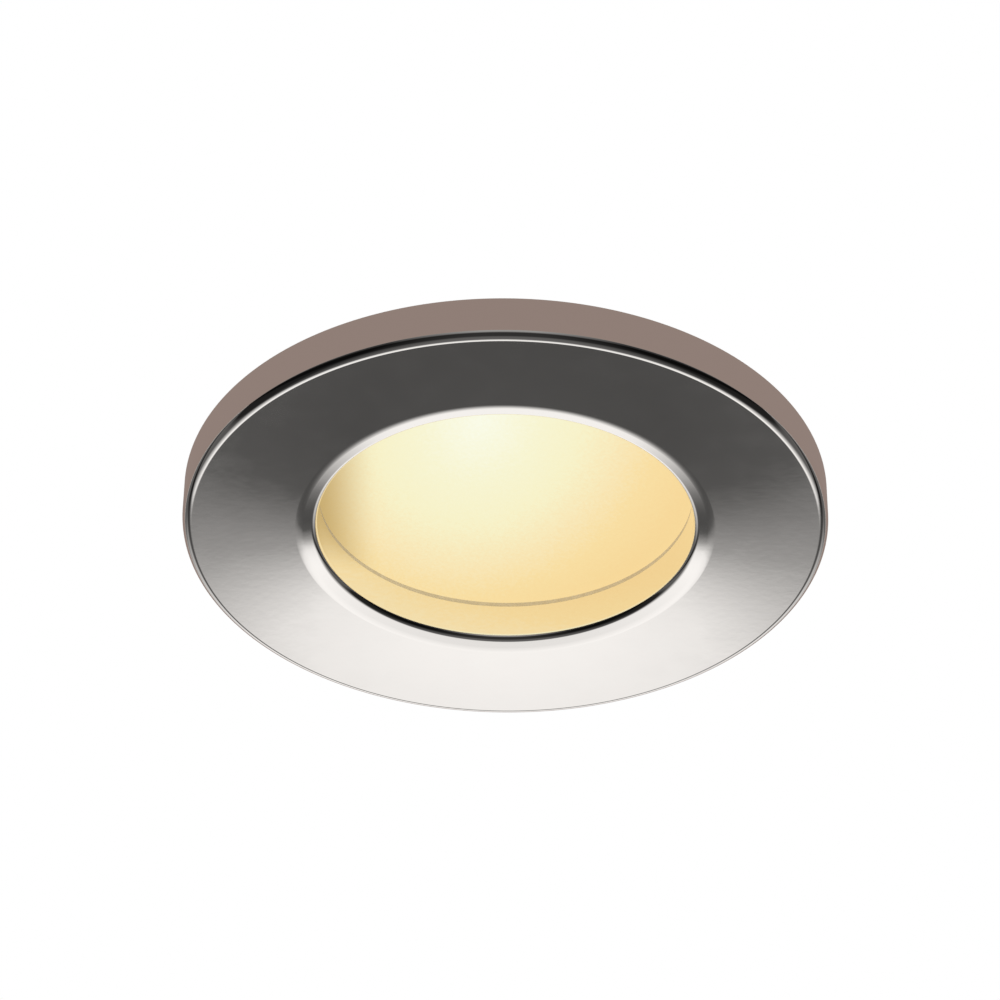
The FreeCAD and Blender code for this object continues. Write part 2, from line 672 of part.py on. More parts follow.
def make_gland_cap_nut():
    """Hexagonal nut with a rounded nose, coned inside to press the insert in."""
    r_stem = GLAND_STEM_D / 2 + GLAND_CLEAR
    r_top = GLAND_CABLE_D / 2 + GLAND_CAP_WALL
    r_skirt = GLAND_HEX / 2 + GLAND_CAP_SKIRT
    low = Z_GLAND_STEM + GLAND_CAP_GAP
    top = low + GLAND_CAP_H
    cone_low = Z_GLAND_TOP + BREAK_R
    cone_top = cone_low + (r_stem - r_top) * 0.75
    outer = turned([(0, low), (r_skirt, low), (r_skirt, top - GLAND_CAP_NOSE, CAST_FILLET_R),
                    (r_top + GLAND_CAP_WALL, top, CAST_R), (0, top)])
    bore = turned([(0, low - ROOT), (r_stem, low - ROOT), (r_stem, cone_low), (r_top, cone_top),
                   (r_top, top + ROOT), (0, top + ROOT)])
    return outer.common(hexagon(GLAND_HEX, low, top + ROOT)).cut(bore)


# ---------------------------------------------------------------- lamp


def make_lamp_reflector():
    """Pressed glass reflector: rim, rounded bowl and square-shouldered neck."""
    neck_low = Z_LAMP_FOOT - LAMP_NECK_H
    bowl_r = R_SHOULDER - EDGE_R
    seat_r, seat_z = R_LAMP - LAMP_COVER_T + GASKET_LEG_STEP, Z_LAMP + LAMP_COVER_T + GASKET_LEG_STEP
    depth = neck_low - Z_SHOULDER
    belly_r = bowl_r * 0.76

    def at(r, z):
        return Vector(r, 0, z)

    outside = Part.Arc(at(bowl_r, Z_SHOULDER), at(belly_r, Z_SHOULDER + depth * 0.58),
                       at(R_LAMP_NECK, neck_low))
    inside = Part.Arc(at(bowl_r - LAMP_SHELL, seat_z), at(belly_r - LAMP_SHELL, Z_SHOULDER + depth * 0.53),
                      at(R_LAMP_BORE, neck_low - LAMP_SHELL))
    rim = [at(bowl_r - LAMP_SHELL, seat_z), at(seat_r, seat_z), at(seat_r, Z_LAMP), at(R_LAMP, Z_LAMP),
           at(R_LAMP, Z_SHOULDER), at(bowl_r, Z_SHOULDER)]
    neck = [at(R_LAMP_NECK, neck_low), at(R_LAMP_NECK, Z_LAMP_FOOT), at(R_LAMP_BORE, Z_LAMP_FOOT),
            at(R_LAMP_BORE, neck_low - LAMP_SHELL)]
    edges = [Part.makeLine(p, q) for line in (rim, neck) for p, q in zip(line, line[1:])]
    edges += [outside.toShape(), inside.toShape()]
    face = Part.Face(Part.Wire(Part.__sortEdges__(edges)))
    return face.revolve(ORIGIN, Z_AXIS, 360)


def make_lamp_front_cover():
    low = Z_LAMP + GASKET_LEG_STEP
    return ring(0, R_LAMP - LAMP_COVER_T, low, low + LAMP_COVER_T)


def make_lamp_capsule():
    """Quartz envelope with a rounded nose and a pinched foot that is cemented to the base."""
    nose = Z_LAMP_FOOT - CAPSULE_H
    r_out = CAPSULE_D / 2
    r_in = r_out - CAPSULE_WALL
    hollow_top = Z_LAMP_FOOT - CAPSULE_PINCH_H
    body_top = hollow_top + 2 * CAPSULE_WALL
    pinch_low = body_top + r_out - CAPSULE_PINCH_R + CAPSULE_WALL
    solid = turned([(0, nose), (r_out, nose, r_out * 0.9), (r_out, body_top, CAST_FILLET_R),
                    (CAPSULE_PINCH_R, pinch_low, CAST_R), (CAPSULE_PINCH_R, Z_LAMP_FOOT), (0, Z_LAMP_FOOT)])
    hollow = turned([(0, nose + CAPSULE_WALL), (r_in, nose + CAPSULE_WALL, r_in * 0.9),
                     (r_in, hollow_top, CAST_R), (0, hollow_top)])
    return solid.cut(hollow)


def make_lamp_filament():
    """A short tungsten coil across the envelope, hung on two stiff wires from the pinch."""
    hanger_top = Z_LAMP_FOOT - CAPSULE_PINCH_H
    wire_r = FILAMENT_WIRE_D / 2
    centre = Vector(0, 0, (hanger_top + Z_LAMP_FOOT - CAPSULE_H) / 2)
    first_deg = 90
    last_deg = first_deg + 360 * FILAMENT_TURNS
    points, tangents = helix_nodes(FILAMENT_R, first_deg, last_deg, FILAMENT_PITCH * FILAMENT_TURNS)
    path = biarc_wire([centre + turn_to_x(p) for p in points], [turn_to_x(t) for t in tangents])
    hangers = []
    for end in (points[0], points[-1]):
        foot = centre + turn_to_x(end) - Vector(0, 0, wire_r)
        hangers.append(Part.makeCylinder(wire_r * 1.2, hanger_top - foot.z, foot))
    return tube_along(path, wire_r).multiFuse(hangers).removeSplitter()


def make_lamp_base():
    """Ceramic cap, flat on two sides, cemented to the reflector's neck."""
    half_y = R_LAMP_NECK * 0.76
    flats = block(-R_LAMP_NECK, R_LAMP_NECK, -half_y, half_y, Z_LAMP_FOOT, Z_LAMP_BACK)
    cap = ring(0, R_LAMP_NECK, Z_LAMP_FOOT, Z_LAMP_BACK).common(flats)
    pin_hole = ring(0, PIN_D / 2, Z_LAMP_BACK - PIN_ROOT, Z_LAMP_BACK)
    return cap.cut([pin_hole.translated(p) for p in pin_places()])


def make_lamp_pins():
    low, high = Z_LAMP_BACK - PIN_ROOT, Z_LAMP_BACK + PIN_LENGTH
    pin = turned([(0, low), (PIN_D / 2, low), (PIN_D / 2, high, PIN_D * 0.3), (0, high)])
    return group([pin.translated(p) for p in pin_places()])


def make_lamp_retaining_ring():
    """Open wire circlip in its groove, with the two ends turned in so that fingers can squeeze it."""
    wire_r = RING_WIRE_D / 2
    groove_clear = 0.02
    radius = R_THROAT + RING_WIRE_D / 4 - wire_r - groove_clear
    z = Z_RING + wire_r
    half_gap = RING_GAP_DEG / 2
    gap_at = 270
    first, last = on_circle(radius, gap_at + half_gap, z), on_circle(radius, gap_at - half_gap, z)
    edges = [Part.Arc(first, on_circle(radius, gap_at - 180, z), last).toShape()]
    for end, way in ((first, -1), (last, 1)):
        tangent = Vector(-end.y, end.x, 0).normalize() * way
        corner = end + tangent * RING_EAR_BEND
        inward = Vector(-corner.x, -corner.y, 0).normalize()
        bend_end = corner + inward * RING_EAR_BEND
        edges += [tangent_arc(end, corner, bend_end), Part.makeLine(bend_end, bend_end + inward * RING_EAR)]
    return tube_along(Part.Wire(Part.__sortEdges__(edges)), wire_r)


# ---------------------------------------------------------------- lampholder, plate and terminals


def pin_places():
    return [Vector(side * PIN_PITCH / 2, 0, 0) for side in SIDES]


def make_lampholder():
    """Ceramic holder with a pocket round each pin and two threaded holes in its back."""
    body = block(-HOLDER_X / 2, HOLDER_X / 2, -HOLDER_Y / 2, HOLDER_Y / 2, Z_HOLDER, Z_PLATE)
    upright = [e for e in body.Edges if abs(e.tangentAt(e.FirstParameter).z) > 0.9]
    body = body.makeFillet(HOLDER_CORNER_R, upright)
    r_sleeve = R_PIN_HOLE + PIN_SLEEVE_WALL
    low = Z_HOLDER + HOLDER_FRONT
    cuts = [ring(0, r_sleeve, low, Z_PLATE - HOLDER_BACK).translated(p) for p in pin_places()]
    cuts += [ring(0, R_PIN_HOLE, Z_HOLDER - ROOT, low + ROOT).translated(p) for p in pin_places()]
    entry_depth = HOLDER_Y / 2 - r_sleeve
    for side in SIDES:
        cuts.append(rod_y(LEAD_D / 2, entry_depth, side * X_LEAD, -HOLDER_Y / 2, Z_LEAD))
        seat = Vector(side * HOLDER_SCREW_PITCH / 2, 0, Z_PLATE)
        cuts.append(screw_hole(M25, HOLDER_SCREW_LENGTH - PLATE_T + SCREW_END, seat, Z_AXIS * -1))
    return body.cut(cuts)


def make_lampholder_contacts():
    sleeve = ring(R_PIN_HOLE, R_PIN_HOLE + PIN_SLEEVE_WALL, Z_HOLDER + HOLDER_FRONT, Z_PLATE - HOLDER_BACK)
    return group([sleeve.translated(p) for p in pin_places()])


def make_holder_plate():
    """Pressed steel disc on the three inner bosses, with vents and a slot for the leads."""
    disc = ring(0, R_CAN_IN - PLATE_CLEAR, Z_PLATE, Z_PLATE_TOP)
    low, top = Z_PLATE - ROOT, Z_PLATE_TOP + ROOT
    depth = top - low
    cuts = [screw_hole(M3, depth, on_circle(R_PLATE_BOSS, a, top), Z_AXIS * -1, SCREW_PASS)
            for a in plate_screw_angles()]
    cuts += [screw_hole(M25, depth, Vector(side * HOLDER_SCREW_PITCH / 2, 0, top), Z_AXIS * -1, SCREW_PASS)
             for side in SIDES]
    cuts.append(screw_hole(M25, depth, Vector(0, Y_BLOCK, top), Z_AXIS * -1))
    cuts.append(block(-X_LEAD - LEAD_D, X_LEAD + LEAD_D, Y_LEAD - LEAD_D, Y_LEAD + LEAD_D, low, top))
    vent = ring(0, VENT_R, low, top)
    cuts += [vent.translated(on_circle(R_CAN_IN - VENT_INSET, a)) for a in (0, 30, 150, 180)]
    return disc.cut(cuts)


def make_plate_screws():
    seats = [on_circle(R_PLATE_BOSS, a, Z_PLATE_TOP) for a in plate_screw_angles()]
    return group([screw(M3, PLATE_SCREW_LENGTH, seat, Z_AXIS * -1) for seat in seats])


def make_holder_screws():
    seats = [Vector(side * HOLDER_SCREW_PITCH / 2, 0, Z_PLATE_TOP) for side in SIDES]
    return group([screw(M25, HOLDER_SCREW_LENGTH, seat, Z_AXIS * -1) for seat in seats])


def pole_xs():
    return [side * POLE_PITCH / 2 for side in SIDES]


def clamp_ys():
    return [Y_BLOCK + side * CLAMP_PITCH / 2 for side in SIDES]


def make_terminal_block():
    """Two-way ceramic connector block with a screw well over each wire clamp."""
    y_low, y_high = Y_BLOCK - BLOCK_Y / 2, Y_BLOCK + BLOCK_Y / 2
    body = block(-BLOCK_X / 2, BLOCK_X / 2, y_low, y_high, Z_PLATE_TOP, Z_BLOCK_TOP)
    top_edges = [e for e in body.Edges if e.BoundBox.ZMin > Z_BLOCK_TOP - SAME_POINT]
    body = body.makeChamfer(BLOCK_CHAMFER, top_edges)
    r_well = M3[0] / 2 + BREAK_R
    middle = Vector(0, Y_BLOCK, Z_PLATE_TOP)
    cuts = [Part.makeCylinder(M25[0] / 2 + SCREW_PASS, BLOCK_H, middle, Z_AXIS),
            Part.makeCylinder(M25[1] / 2 + BREAK_R, BLOCK_H, middle + Z_AXIS * BLOCK_SCREW_UP, Z_AXIS)]
    for x in pole_xs():
        cuts.append(rod_y(TUBE_D / 2, BLOCK_Y, x, y_low, Z_TUBE))
        cuts += [Part.makeCylinder(r_well, BLOCK_H, Vector(x, y, Z_TUBE), Z_AXIS) for y in clamp_ys()]
    return body.cut(cuts)


def make_terminal_tubes():
    """Brass wire clamps, one for each pole."""
    y_low = Y_BLOCK - BLOCK_Y / 2 + TUBE_END_GAP
    length = BLOCK_Y - 2 * TUBE_END_GAP
    tubes = []
    for x in pole_xs():
        cuts = [rod_y(TUBE_BORE / 2, length, x, y_low, Z_TUBE)]
        cuts += [screw_hole(M25, TUBE_D, Vector(x, y, Z_TUBE), Z_AXIS) for y in clamp_ys()]
        tubes.append(rod_y(TUBE_D / 2, length, x, y_low, Z_TUBE).cut(cuts))
    return group(tubes)


def make_terminal_screws():
    low, high = Z_TUBE + EDGE_R, Z_BLOCK_TOP - GRUB_BELOW_TOP
    half = M25[0]
    slot = block(-half, half, -GRUB_SLOT_W / 2, GRUB_SLOT_W / 2, high - GRUB_SLOT_DEPTH, high)
    grub = ring(0, M25[0] / 2, low, high).cut(slot)
    return group([grub.translated(Vector(x, y, 0)) for x in pole_xs() for y in clamp_ys()])


def make_terminal_block_screw():
    return screw(M25, BLOCK_SCREW_LENGTH, Vector(0, Y_BLOCK, Z_PLATE_TOP + BLOCK_SCREW_UP), Z_AXIS * -1)


def make_holder_leads():
    """Two sleeved leads: out of the terminal block, down through the plate and into the holder."""
    leads = []
    for side in SIDES:
        x = side * X_LEAD
        corners = [Vector(x, Y_BLOCK - BLOCK_Y / 2 + TUBE_END_GAP, Z_TUBE), Vector(x, Y_LEAD, Z_TUBE),
                   Vector(x, Y_LEAD, Z_LEAD), Vector(x, -HOLDER_Y / 2, Z_LEAD)]
        path = rounded_path(corners, [0, LEAD_BEND, LEAD_BEND, 0], closed=False)
        leads.append(tube_along(path, LEAD_D / 2))
        expected = path.Length * math.pi * LEAD_D ** 2 / 4
        print("lead bend radius", LEAD_BEND, "volume share", round(leads[-1].Volume / expected, 4))
    return group(leads)


# ---------------------------------------------------------------- coils


def helix_nodes(radius, start_deg, end_deg, travel):
    """Points and tangents every quarter turn of a coil about Y, level where it starts and ends."""
    count = math.ceil((end_deg - start_deg) / 90)
    nodes, tangents = [], []
    step = math.radians(end_deg - start_deg) / count
    for k in range(count + 1):
        angle = math.radians(start_deg) + step * k
        nodes.append(Vector(radius * math.cos(angle), travel * (0.5 - k / count), radius * math.sin(angle)))
        climb = 0 if k in (0, count) else -travel / count / step
        tangents.append(Vector(-radius * math.sin(angle), climb, radius * math.cos(angle)).normalize())
    return nodes, tangents


def turn_to_x(vector):
    """Lays a coil about Y along X instead."""
    return Vector(vector.y, -vector.x, vector.z)


def biarc(p0, t0, p1, t1):
    """Two arcs from p0 to p1 that leave along t0 and arrive along t1."""
    chord, tangents = p1 - p0, t0 + t1
    a = 2 * (1 - t0.dot(t1))
    b = chord.dot(tangents)
    reach = (math.sqrt(b * b + a * chord.dot(chord)) - b) / a
    first, second = p0 + t0 * reach, p1 - t1 * reach
    joint = (first + second) * 0.5
    return [tangent_arc(p0, first, joint), tangent_arc(joint, second, p1)]


def biarc_wire(nodes, tangents, before=(), after=()):
    edges = list(before)
    for k in range(len(nodes) - 1):
        edges += biarc(nodes[k], tangents[k], nodes[k + 1], tangents[k + 1])
    return Part.Wire(edges + list(after))


def least_turn_gap(radius, pitch, wire_d):
    """The least gap of a coil to itself, measured on points at least half a turn apart."""
    steps = 72  # in one turn

    def point(k):
        angle = 2 * math.pi * k / steps
        return Vector(radius * math.cos(angle), pitch * k / steps, radius * math.sin(angle))

    return min((point(0) - point(k)).Length for k in range(steps // 2, steps * 3 // 2)) - wire_d


# ---------------------------------------------------------------- spring clips

# Each clip is drawn about its pivot with the arm folded up: X points away from the can and Z up the
# arm. arm_at_rest() swings it down to its stop, and clip_at() puts it on its side of the can.


def arm_at_rest(shape):
    turned_down = shape.copy()
    turned_down.rotate(ORIGIN, Y_AXIS, ARM_OPEN_DEG)
    return turned_down


def clip_at(shape, side):
    placed = shape.copy()
    placed.translate(Vector(X_PIVOT, 0, PIVOT_Z))
    return around(placed, 0 if side == "right" else 180)


def arm_line():
    """The arm's centre line, (x, z, bend radius): straight, tucked in along the can, with a bent toe."""
    tucked = ARM_OUT - ARM_TUCK
    return [(ARM_OUT, 0, 0), (ARM_OUT, ARM_STRAIGHT, ARM_BEND_R),
            (tucked, ARM_STRAIGHT + ARM_JOG, ARM_BEND_R), (tucked, ARM_LENGTH - ARM_TOE_RISE, ARM_TOE_R),
            (tucked - ARM_TOE, ARM_LENGTH + ARM_TOE / 3, 0)]


def strip(line, thickness, width):
    """A bent strip of sheet, width across Y, with its centre line through (x, z, bend radius)."""
    points = [Vector(x, 0, z) for x, z, _ in line]
    bends = [r for _, _, r in line]
    left, right, left_r, right_r = [], [], [], []
    for i, p in enumerate(points):
        ahead = (points[min(i + 1, len(points) - 1)] - points[min(i, len(points) - 2)]).normalize()
        behind = (points[max(i, 1)] - points[max(i - 1, 0)]).normalize()
        n_ahead, n_behind = Vector(-ahead.z, 0, ahead.x), Vector(-behind.z, 0, behind.x)
        mitre = (n_ahead + n_behind) * (thickness / 2 / (1 + n_ahead.dot(n_behind)))
        side = 1 if behind.cross(ahead).y < 0 else -1
        left.append(p + mitre)
        right.append(p - mitre)
        left_r.append(bends[i] - side * thickness / 2 if bends[i] else 0)
        right_r.append(bends[i] + side * thickness / 2 if bends[i] else 0)
    face = Part.Face(rounded_path(left + right[::-1], left_r + right_r[::-1]))
    return face.extrude(Vector(0, width, 0)).translated(Vector(0, -width / 2, 0))


def make_clip_bracket():
    """Pressed bracket: base plate on the pad, two ears for the pin and a tongue that stops the arm."""
    front = -PIVOT_OUT
    back = front - BRACKET_T
    plate = block(back, front, -BRACKET_Y / 2, BRACKET_Y / 2, -BRACKET_BELOW, BRACKET_ABOVE)
    corners = [e for e in plate.Edges if abs(e.tangentAt(e.FirstParameter).x) > 0.9]
    plate = plate.makeFillet(BRACKET_CORNER_R, corners)
    ear_y = EAR_GAP / 2 + EAR_T / 2
    ear_low, ear_high = -EAR_R - EAR_ROOT_BELOW, EAR_R + EAR_ROOT_ABOVE
    nose_r = EAR_R * 0.95
    ears = [plate_xz([(back, ear_low), (front, ear_low), (EAR_R, -EAR_R, nose_r), (EAR_R, EAR_R, nose_r),
                      (front, ear_high), (back, ear_high)], y, EAR_T) for y in (-ear_y, ear_y)]
    # the tongue's upper face lies just under the arm at rest
    opened = math.radians(ARM_OPEN_DEG)
    tip_x = front + STOP_REACH
    under = ARM_OUT + ARM_T / 2
    along = (tip_x - under * math.cos(opened)) / math.sin(opened)
    tongue_top = along * math.cos(opened) - under * math.sin(opened) - STOP_GAP
    tongue_low = tongue_top - BRACKET_T
    tongue = plate_xz([(back, tongue_low), (tip_x, tongue_low, BREAK_R), (tip_x, tongue_top, BREAK_R),
                       (back, tongue_top)], 0, STOP_W)
    cuts = [rod_y(PIVOT_D / 2 + PIVOT_CLEAR, BRACKET_Y, 0, -BRACKET_Y / 2, 0)]
    cuts += [screw_hole(M3, BRACKET_T + 2 * ROOT, Vector(front + ROOT, 0, up), X_AXIS * -1, SCREW_PASS)
             for up in BRACKET_SCREW_UP]
    return plate.multiFuse(ears + [tongue]).cut(cuts).removeSplitter()


def make_clip_pin():
    """Rivet-headed pin through both ears, the arm's lugs and the spring."""
    half = EAR_GAP / 2 + EAR_T + PIVOT_CLEAR
    head = half + PIVOT_HEAD_T
    r = PIVOT_D / 2
    head_r = r + PIVOT_HEAD_RIM
    pin = turned([(0, -head), (head_r, -head, EDGE_R), (head_r, -half), (r, -half), (r, half), (head_r, half),
                  (head_r, head, EDGE_R), (0, head)])
    pin.rotate(ORIGIN, X_AXIS, 90)
    return pin


def make_clip_arm():
    """Sprung-steel strip with two lugs that turn on the pin."""
    sheet = strip(arm_line(), ARM_T, ARM_W)
    lug_y = ARM_W / 2 - LUG_T / 2
    inner = ARM_OUT - ARM_T / 4
    lugs = []
    for y in (-lug_y, lug_y):
        disc = rod_y(LUG_R, LUG_T, 0, y - LUG_T / 2, 0)
        web = plate_xz([(-LUG_R, 0), (inner - ROOT, LUG_LENGTH), (inner, LUG_LENGTH), (inner, 0)], y, LUG_T)
        lugs += [disc, web]
    hole = rod_y(PIVOT_D / 2 + LUG_CLEAR, ARM_W + 2 * ROOT, 0, -ARM_W / 2 - ROOT, 0)
    return sheet.multiFuse(lugs).cut(hole).removeSplitter()


def make_clip_tip(arm):
    """Silicone boot pushed over the arm's toe."""
    (bend_x, bend_z, bend_r), (end_x, end_z, _) = arm_line()[-2:]
    over = Vector(end_x - bend_x, 0, end_z - bend_z).normalize() * TIP_T
    start_z = bend_z - TIP_LENGTH + TIP_PAST_TOE
    boot_line = [(bend_x, start_z, 0), (bend_x, bend_z, bend_r), (end_x + over.x, end_z + over.z, 0)]
    boot = strip(boot_line, ARM_T + 2 * TIP_T, ARM_W + 2 * TIP_T)
    side_edges = [e for e in boot.Edges if e.BoundBox.YLength < SAME_POINT]
    return boot.makeFillet(TIP_EDGE_R, side_edges).cut(arm)


def make_clip_spring():
    """Torsion spring round the pin: one leg up the base plate, the other along the arm."""
    wire_r = SPRING_WIRE_D / 2
    lean = math.atan((PIVOT_OUT - wire_r - SPRING_LEG_CLEAR - SPRING_R) / SPRING_LEG_UP)
    start_deg = 180 + math.degrees(lean)
    end_deg = 360 - ARM_OPEN_DEG + 360 * SPRING_TURNS
    points, tangents = helix_nodes(SPRING_R, start_deg, end_deg, SPRING_PITCH * (end_deg - start_deg) / 360)
    leg_up = Part.makeLine(points[0] - tangents[0] * SPRING_LEG_UP, points[0])
    leg_out = Part.makeLine(points[-1], points[-1] + tangents[-1] * SPRING_LEG_OUT)
    path = biarc_wire(points, tangents, [leg_up], [leg_out])
    print("clip spring gap between turns", round(least_turn_gap(SPRING_R, SPRING_PITCH, SPRING_WIRE_D), 3))
    return tube_along(path, wire_r)


def make_bracket_screws():
    seats = [Vector(X_PAD + BRACKET_T, 0, PIVOT_Z + up) for up in BRACKET_SCREW_UP]
    screws = [screw(M3, BRACKET_SCREW_LENGTH, seat, X_AXIS * -1) for seat in seats]
    return group([around(s, a) for s in screws for a in (0, 180)])


# ---------------------------------------------------------------- assembly

nodes = {
    "bezel": make_bezel(),
    "front_glass": make_front_glass(),
    "lens_gasket": make_lens_gasket(),
    "ceiling_gasket": make_ceiling_gasket(),
    "housing": make_housing(),
    "rear_cover": make_rear_cover(),
    "cover_o_ring": make_cover_o_ring(),
    "cover_screws": make_cover_screws(),
    "gland_body": make_gland_body(),
    "gland_seal_washer": make_gland_seal_washer(),
    "gland_insert": make_gland_insert(),
    "gland_cap_nut": make_gland_cap_nut(),
    "gland_lock_nut": make_gland_lock_nut(),
    "lamp_reflector": make_lamp_reflector(),
    "lamp_front_cover": make_lamp_front_cover(),
    "lamp_capsule": make_lamp_capsule(),
    "lamp_filament": make_lamp_filament(),
    "lamp_base": make_lamp_base(),
    "lamp_pins": make_lamp_pins(),
    "lamp_retaining_ring": make_lamp_retaining_ring(),
    "lampholder": make_lampholder(),
    "lampholder_contacts": make_lampholder_contacts(),
    "holder_screws": make_holder_screws(),
    "holder_plate": make_holder_plate(),
    "plate_screws": make_plate_screws(),
    "terminal_block": make_terminal_block(),
    "terminal_tubes": make_terminal_tubes(),
    "terminal_screws": make_terminal_screws(),
    "terminal_block_screw": make_terminal_block_screw(),
    "holder_leads": make_holder_leads(),
    "bracket_screws": make_bracket_screws(),
}

folded_arm = make_clip_arm()
rest_arm = arm_at_rest(folded_arm)
rest_tip = arm_at_rest(make_clip_tip(folded_arm))
bracket, pin, spring = make_clip_bracket(), make_clip_pin(), make_clip_spring()
for side in ("left", "right"):
    nodes["clip_bracket_" + side] = clip_at(bracket, side)
    nodes["clip_pin_" + side] = clip_at(pin, side)
    nodes["clip_spring_" + side] = clip_at(spring, side)
    nodes["clip_arm_" + side] = clip_at(rest_arm, side)
    nodes["clip_tip_" + side] = clip_at(rest_tip, side)

for label, size in (("bezel", R_BEZEL), ("aperture", R_APERTURE), ("ceiling cut-out", R_CUT_OUT)):
    print(label, "diameter", round(2 * size, 2))
folded_reach = math.hypot(X_PIVOT + ARM_OUT + ARM_T / 2, ARM_W / 2)
print("folded clips pass the cut-out with", round(R_CUT_OUT - folded_reach, 2), "to spare")

os.makedirs("parts", exist_ok=True)
for name, shape in nodes.items():
    if not shape.isValid() or any(solid.Volume <= 0 for solid in shape.Solids):
        raise ValueError("bad solid in " + name)
    shape.exportStep("parts/" + name + ".step")
    print(name, len(shape.Solids), "solids", round(shape.Volume, 1), "mm3")
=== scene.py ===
import math

import bpy
import bmesh
from mathutils import Matrix, Vector


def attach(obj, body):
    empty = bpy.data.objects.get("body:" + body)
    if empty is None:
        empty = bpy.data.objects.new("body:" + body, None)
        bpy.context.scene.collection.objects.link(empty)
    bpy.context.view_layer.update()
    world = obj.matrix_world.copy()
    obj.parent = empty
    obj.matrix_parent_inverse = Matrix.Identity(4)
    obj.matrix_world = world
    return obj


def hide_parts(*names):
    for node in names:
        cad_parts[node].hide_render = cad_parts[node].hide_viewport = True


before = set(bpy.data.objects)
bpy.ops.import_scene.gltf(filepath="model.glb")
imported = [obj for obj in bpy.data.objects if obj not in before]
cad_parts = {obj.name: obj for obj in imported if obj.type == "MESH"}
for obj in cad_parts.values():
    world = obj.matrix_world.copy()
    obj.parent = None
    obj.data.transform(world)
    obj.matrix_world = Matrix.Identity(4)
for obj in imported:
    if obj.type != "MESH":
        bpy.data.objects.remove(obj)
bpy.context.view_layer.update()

# ------------------------------------------------------------------ camera
# Seen from below and in front, near enough that the far side of the ring narrows.

CAMERA_DISTANCE = 0.500
CAMERA_ELEVATION = math.radians(-36.55)
CAMERA_ROLL = math.radians(0.48)
FOCAL_PX = 3768.5
IMAGE_PX = 1000
SENSOR_MM = 36.0
ORIGIN_PX = (505.5, 501.4)

camera_data = bpy.data.cameras.new("camera")
camera_data.sensor_width = SENSOR_MM
camera_data.lens = FOCAL_PX / IMAGE_PX * SENSOR_MM
camera_data.clip_start = 0.01
camera_data.clip_end = 20.0
camera_data.shift_x = (IMAGE_PX / 2 - ORIGIN_PX[0]) / IMAGE_PX
camera_data.shift_y = (ORIGIN_PX[1] - IMAGE_PX / 2) / IMAGE_PX
camera = bpy.data.objects.new("camera", camera_data)
bpy.context.scene.collection.objects.link(camera)
camera_away = Vector((0, -math.cos(CAMERA_ELEVATION), math.sin(CAMERA_ELEVATION)))
camera_facing = (-camera_away).to_track_quat("-Z", "Y").to_matrix().to_4x4()
camera_roll = Matrix.Rotation(CAMERA_ROLL, 4, "Z")
camera.matrix_world = Matrix.Translation(camera_away * CAMERA_DISTANCE) @ camera_facing @ camera_roll
bpy.context.scene.camera = camera
bpy.context.scene.view_settings.view_transform = "Standard"

# ------------------------------------------------------------------ soffit board, floor and light
# The fitting hangs under a white painted soffit, which shows only from underneath so that the can
# above it can be looked at too. The room is pale on the far side and dim on the near side.

BOARD_CUT_OUT_R = 0.0365
BOARD_R = 2.5
BOARD_Z = 0.0
BOARD_SEGMENTS = 96
BOARD_MIRRORED_BELOW = (0.29, 0.225, 0.20, 1.0)
BOARD_MIRRORED_ABOVE = (0.62, 0.62, 0.61, 1.0)
FLOOR_R = 8.0
FLOOR_Z = -1.6
FLOOR_COLOUR = (0.80, 0.79, 0.77, 1.0)
WHITE = (1.0, 1.0, 1.0, 1.0)


def node_tree(owner):
    """An emptied node tree and its output node."""
    owner.use_nodes = True
    tree = owner.node_tree
    tree.nodes.clear()
    kind = "ShaderNodeOutputWorld" if isinstance(owner, bpy.types.World) else "ShaderNodeOutputMaterial"
    return tree, tree.nodes.new(kind)


def add(tree, kind, **settings):
    """A new shader node. Settings that name an input set its value, others set the node itself."""
    node = tree.nodes.new("ShaderNode" + kind)
    for name, value in settings.items():
        socket = node.inputs.get(name.replace("_", " "))
        if socket is not None and not hasattr(node, name):
            socket.default_value = value
        else:
            setattr(node, name, value)
    return node


def ramp(tree, source, stops):
    """A colour ramp from (place, grey or colour) stops."""
    node = tree.nodes.new("ShaderNodeValToRGB")
    elements = node.color_ramp.elements
    elements.remove(elements[1])
    for i, (place, colour) in enumerate(stops):
        element = elements.new(place) if i else elements[0]
        element.position = place
        element.color = (colour,) * 3 + (1.0,) if isinstance(colour, float) else tuple(colour) + (1.0,)
    tree.links.new(source, node.inputs["Fac"])
    return node


def flat_ring(name, inner, outer, z, material):
    """A flat disc with a hole, facing up."""
    turns = [2 * math.pi * i / BOARD_SEGMENTS for i in range(BOARD_SEGMENTS)]
    points = [(r * math.cos(a), r * math.sin(a), z) for a in turns for r in (inner, outer)]
    count = len(points)
    faces = [(i, i + 1, (i + 3) % count, (i + 2) % count) for i in range(0, count, 2)]
    mesh = bpy.data.meshes.new(name)
    mesh.from_pydata(points, [], faces)
    obj = bpy.data.objects.new(name, mesh)
    bpy.context.scene.collection.objects.link(obj)
    mesh.materials.append(material)
    return obj


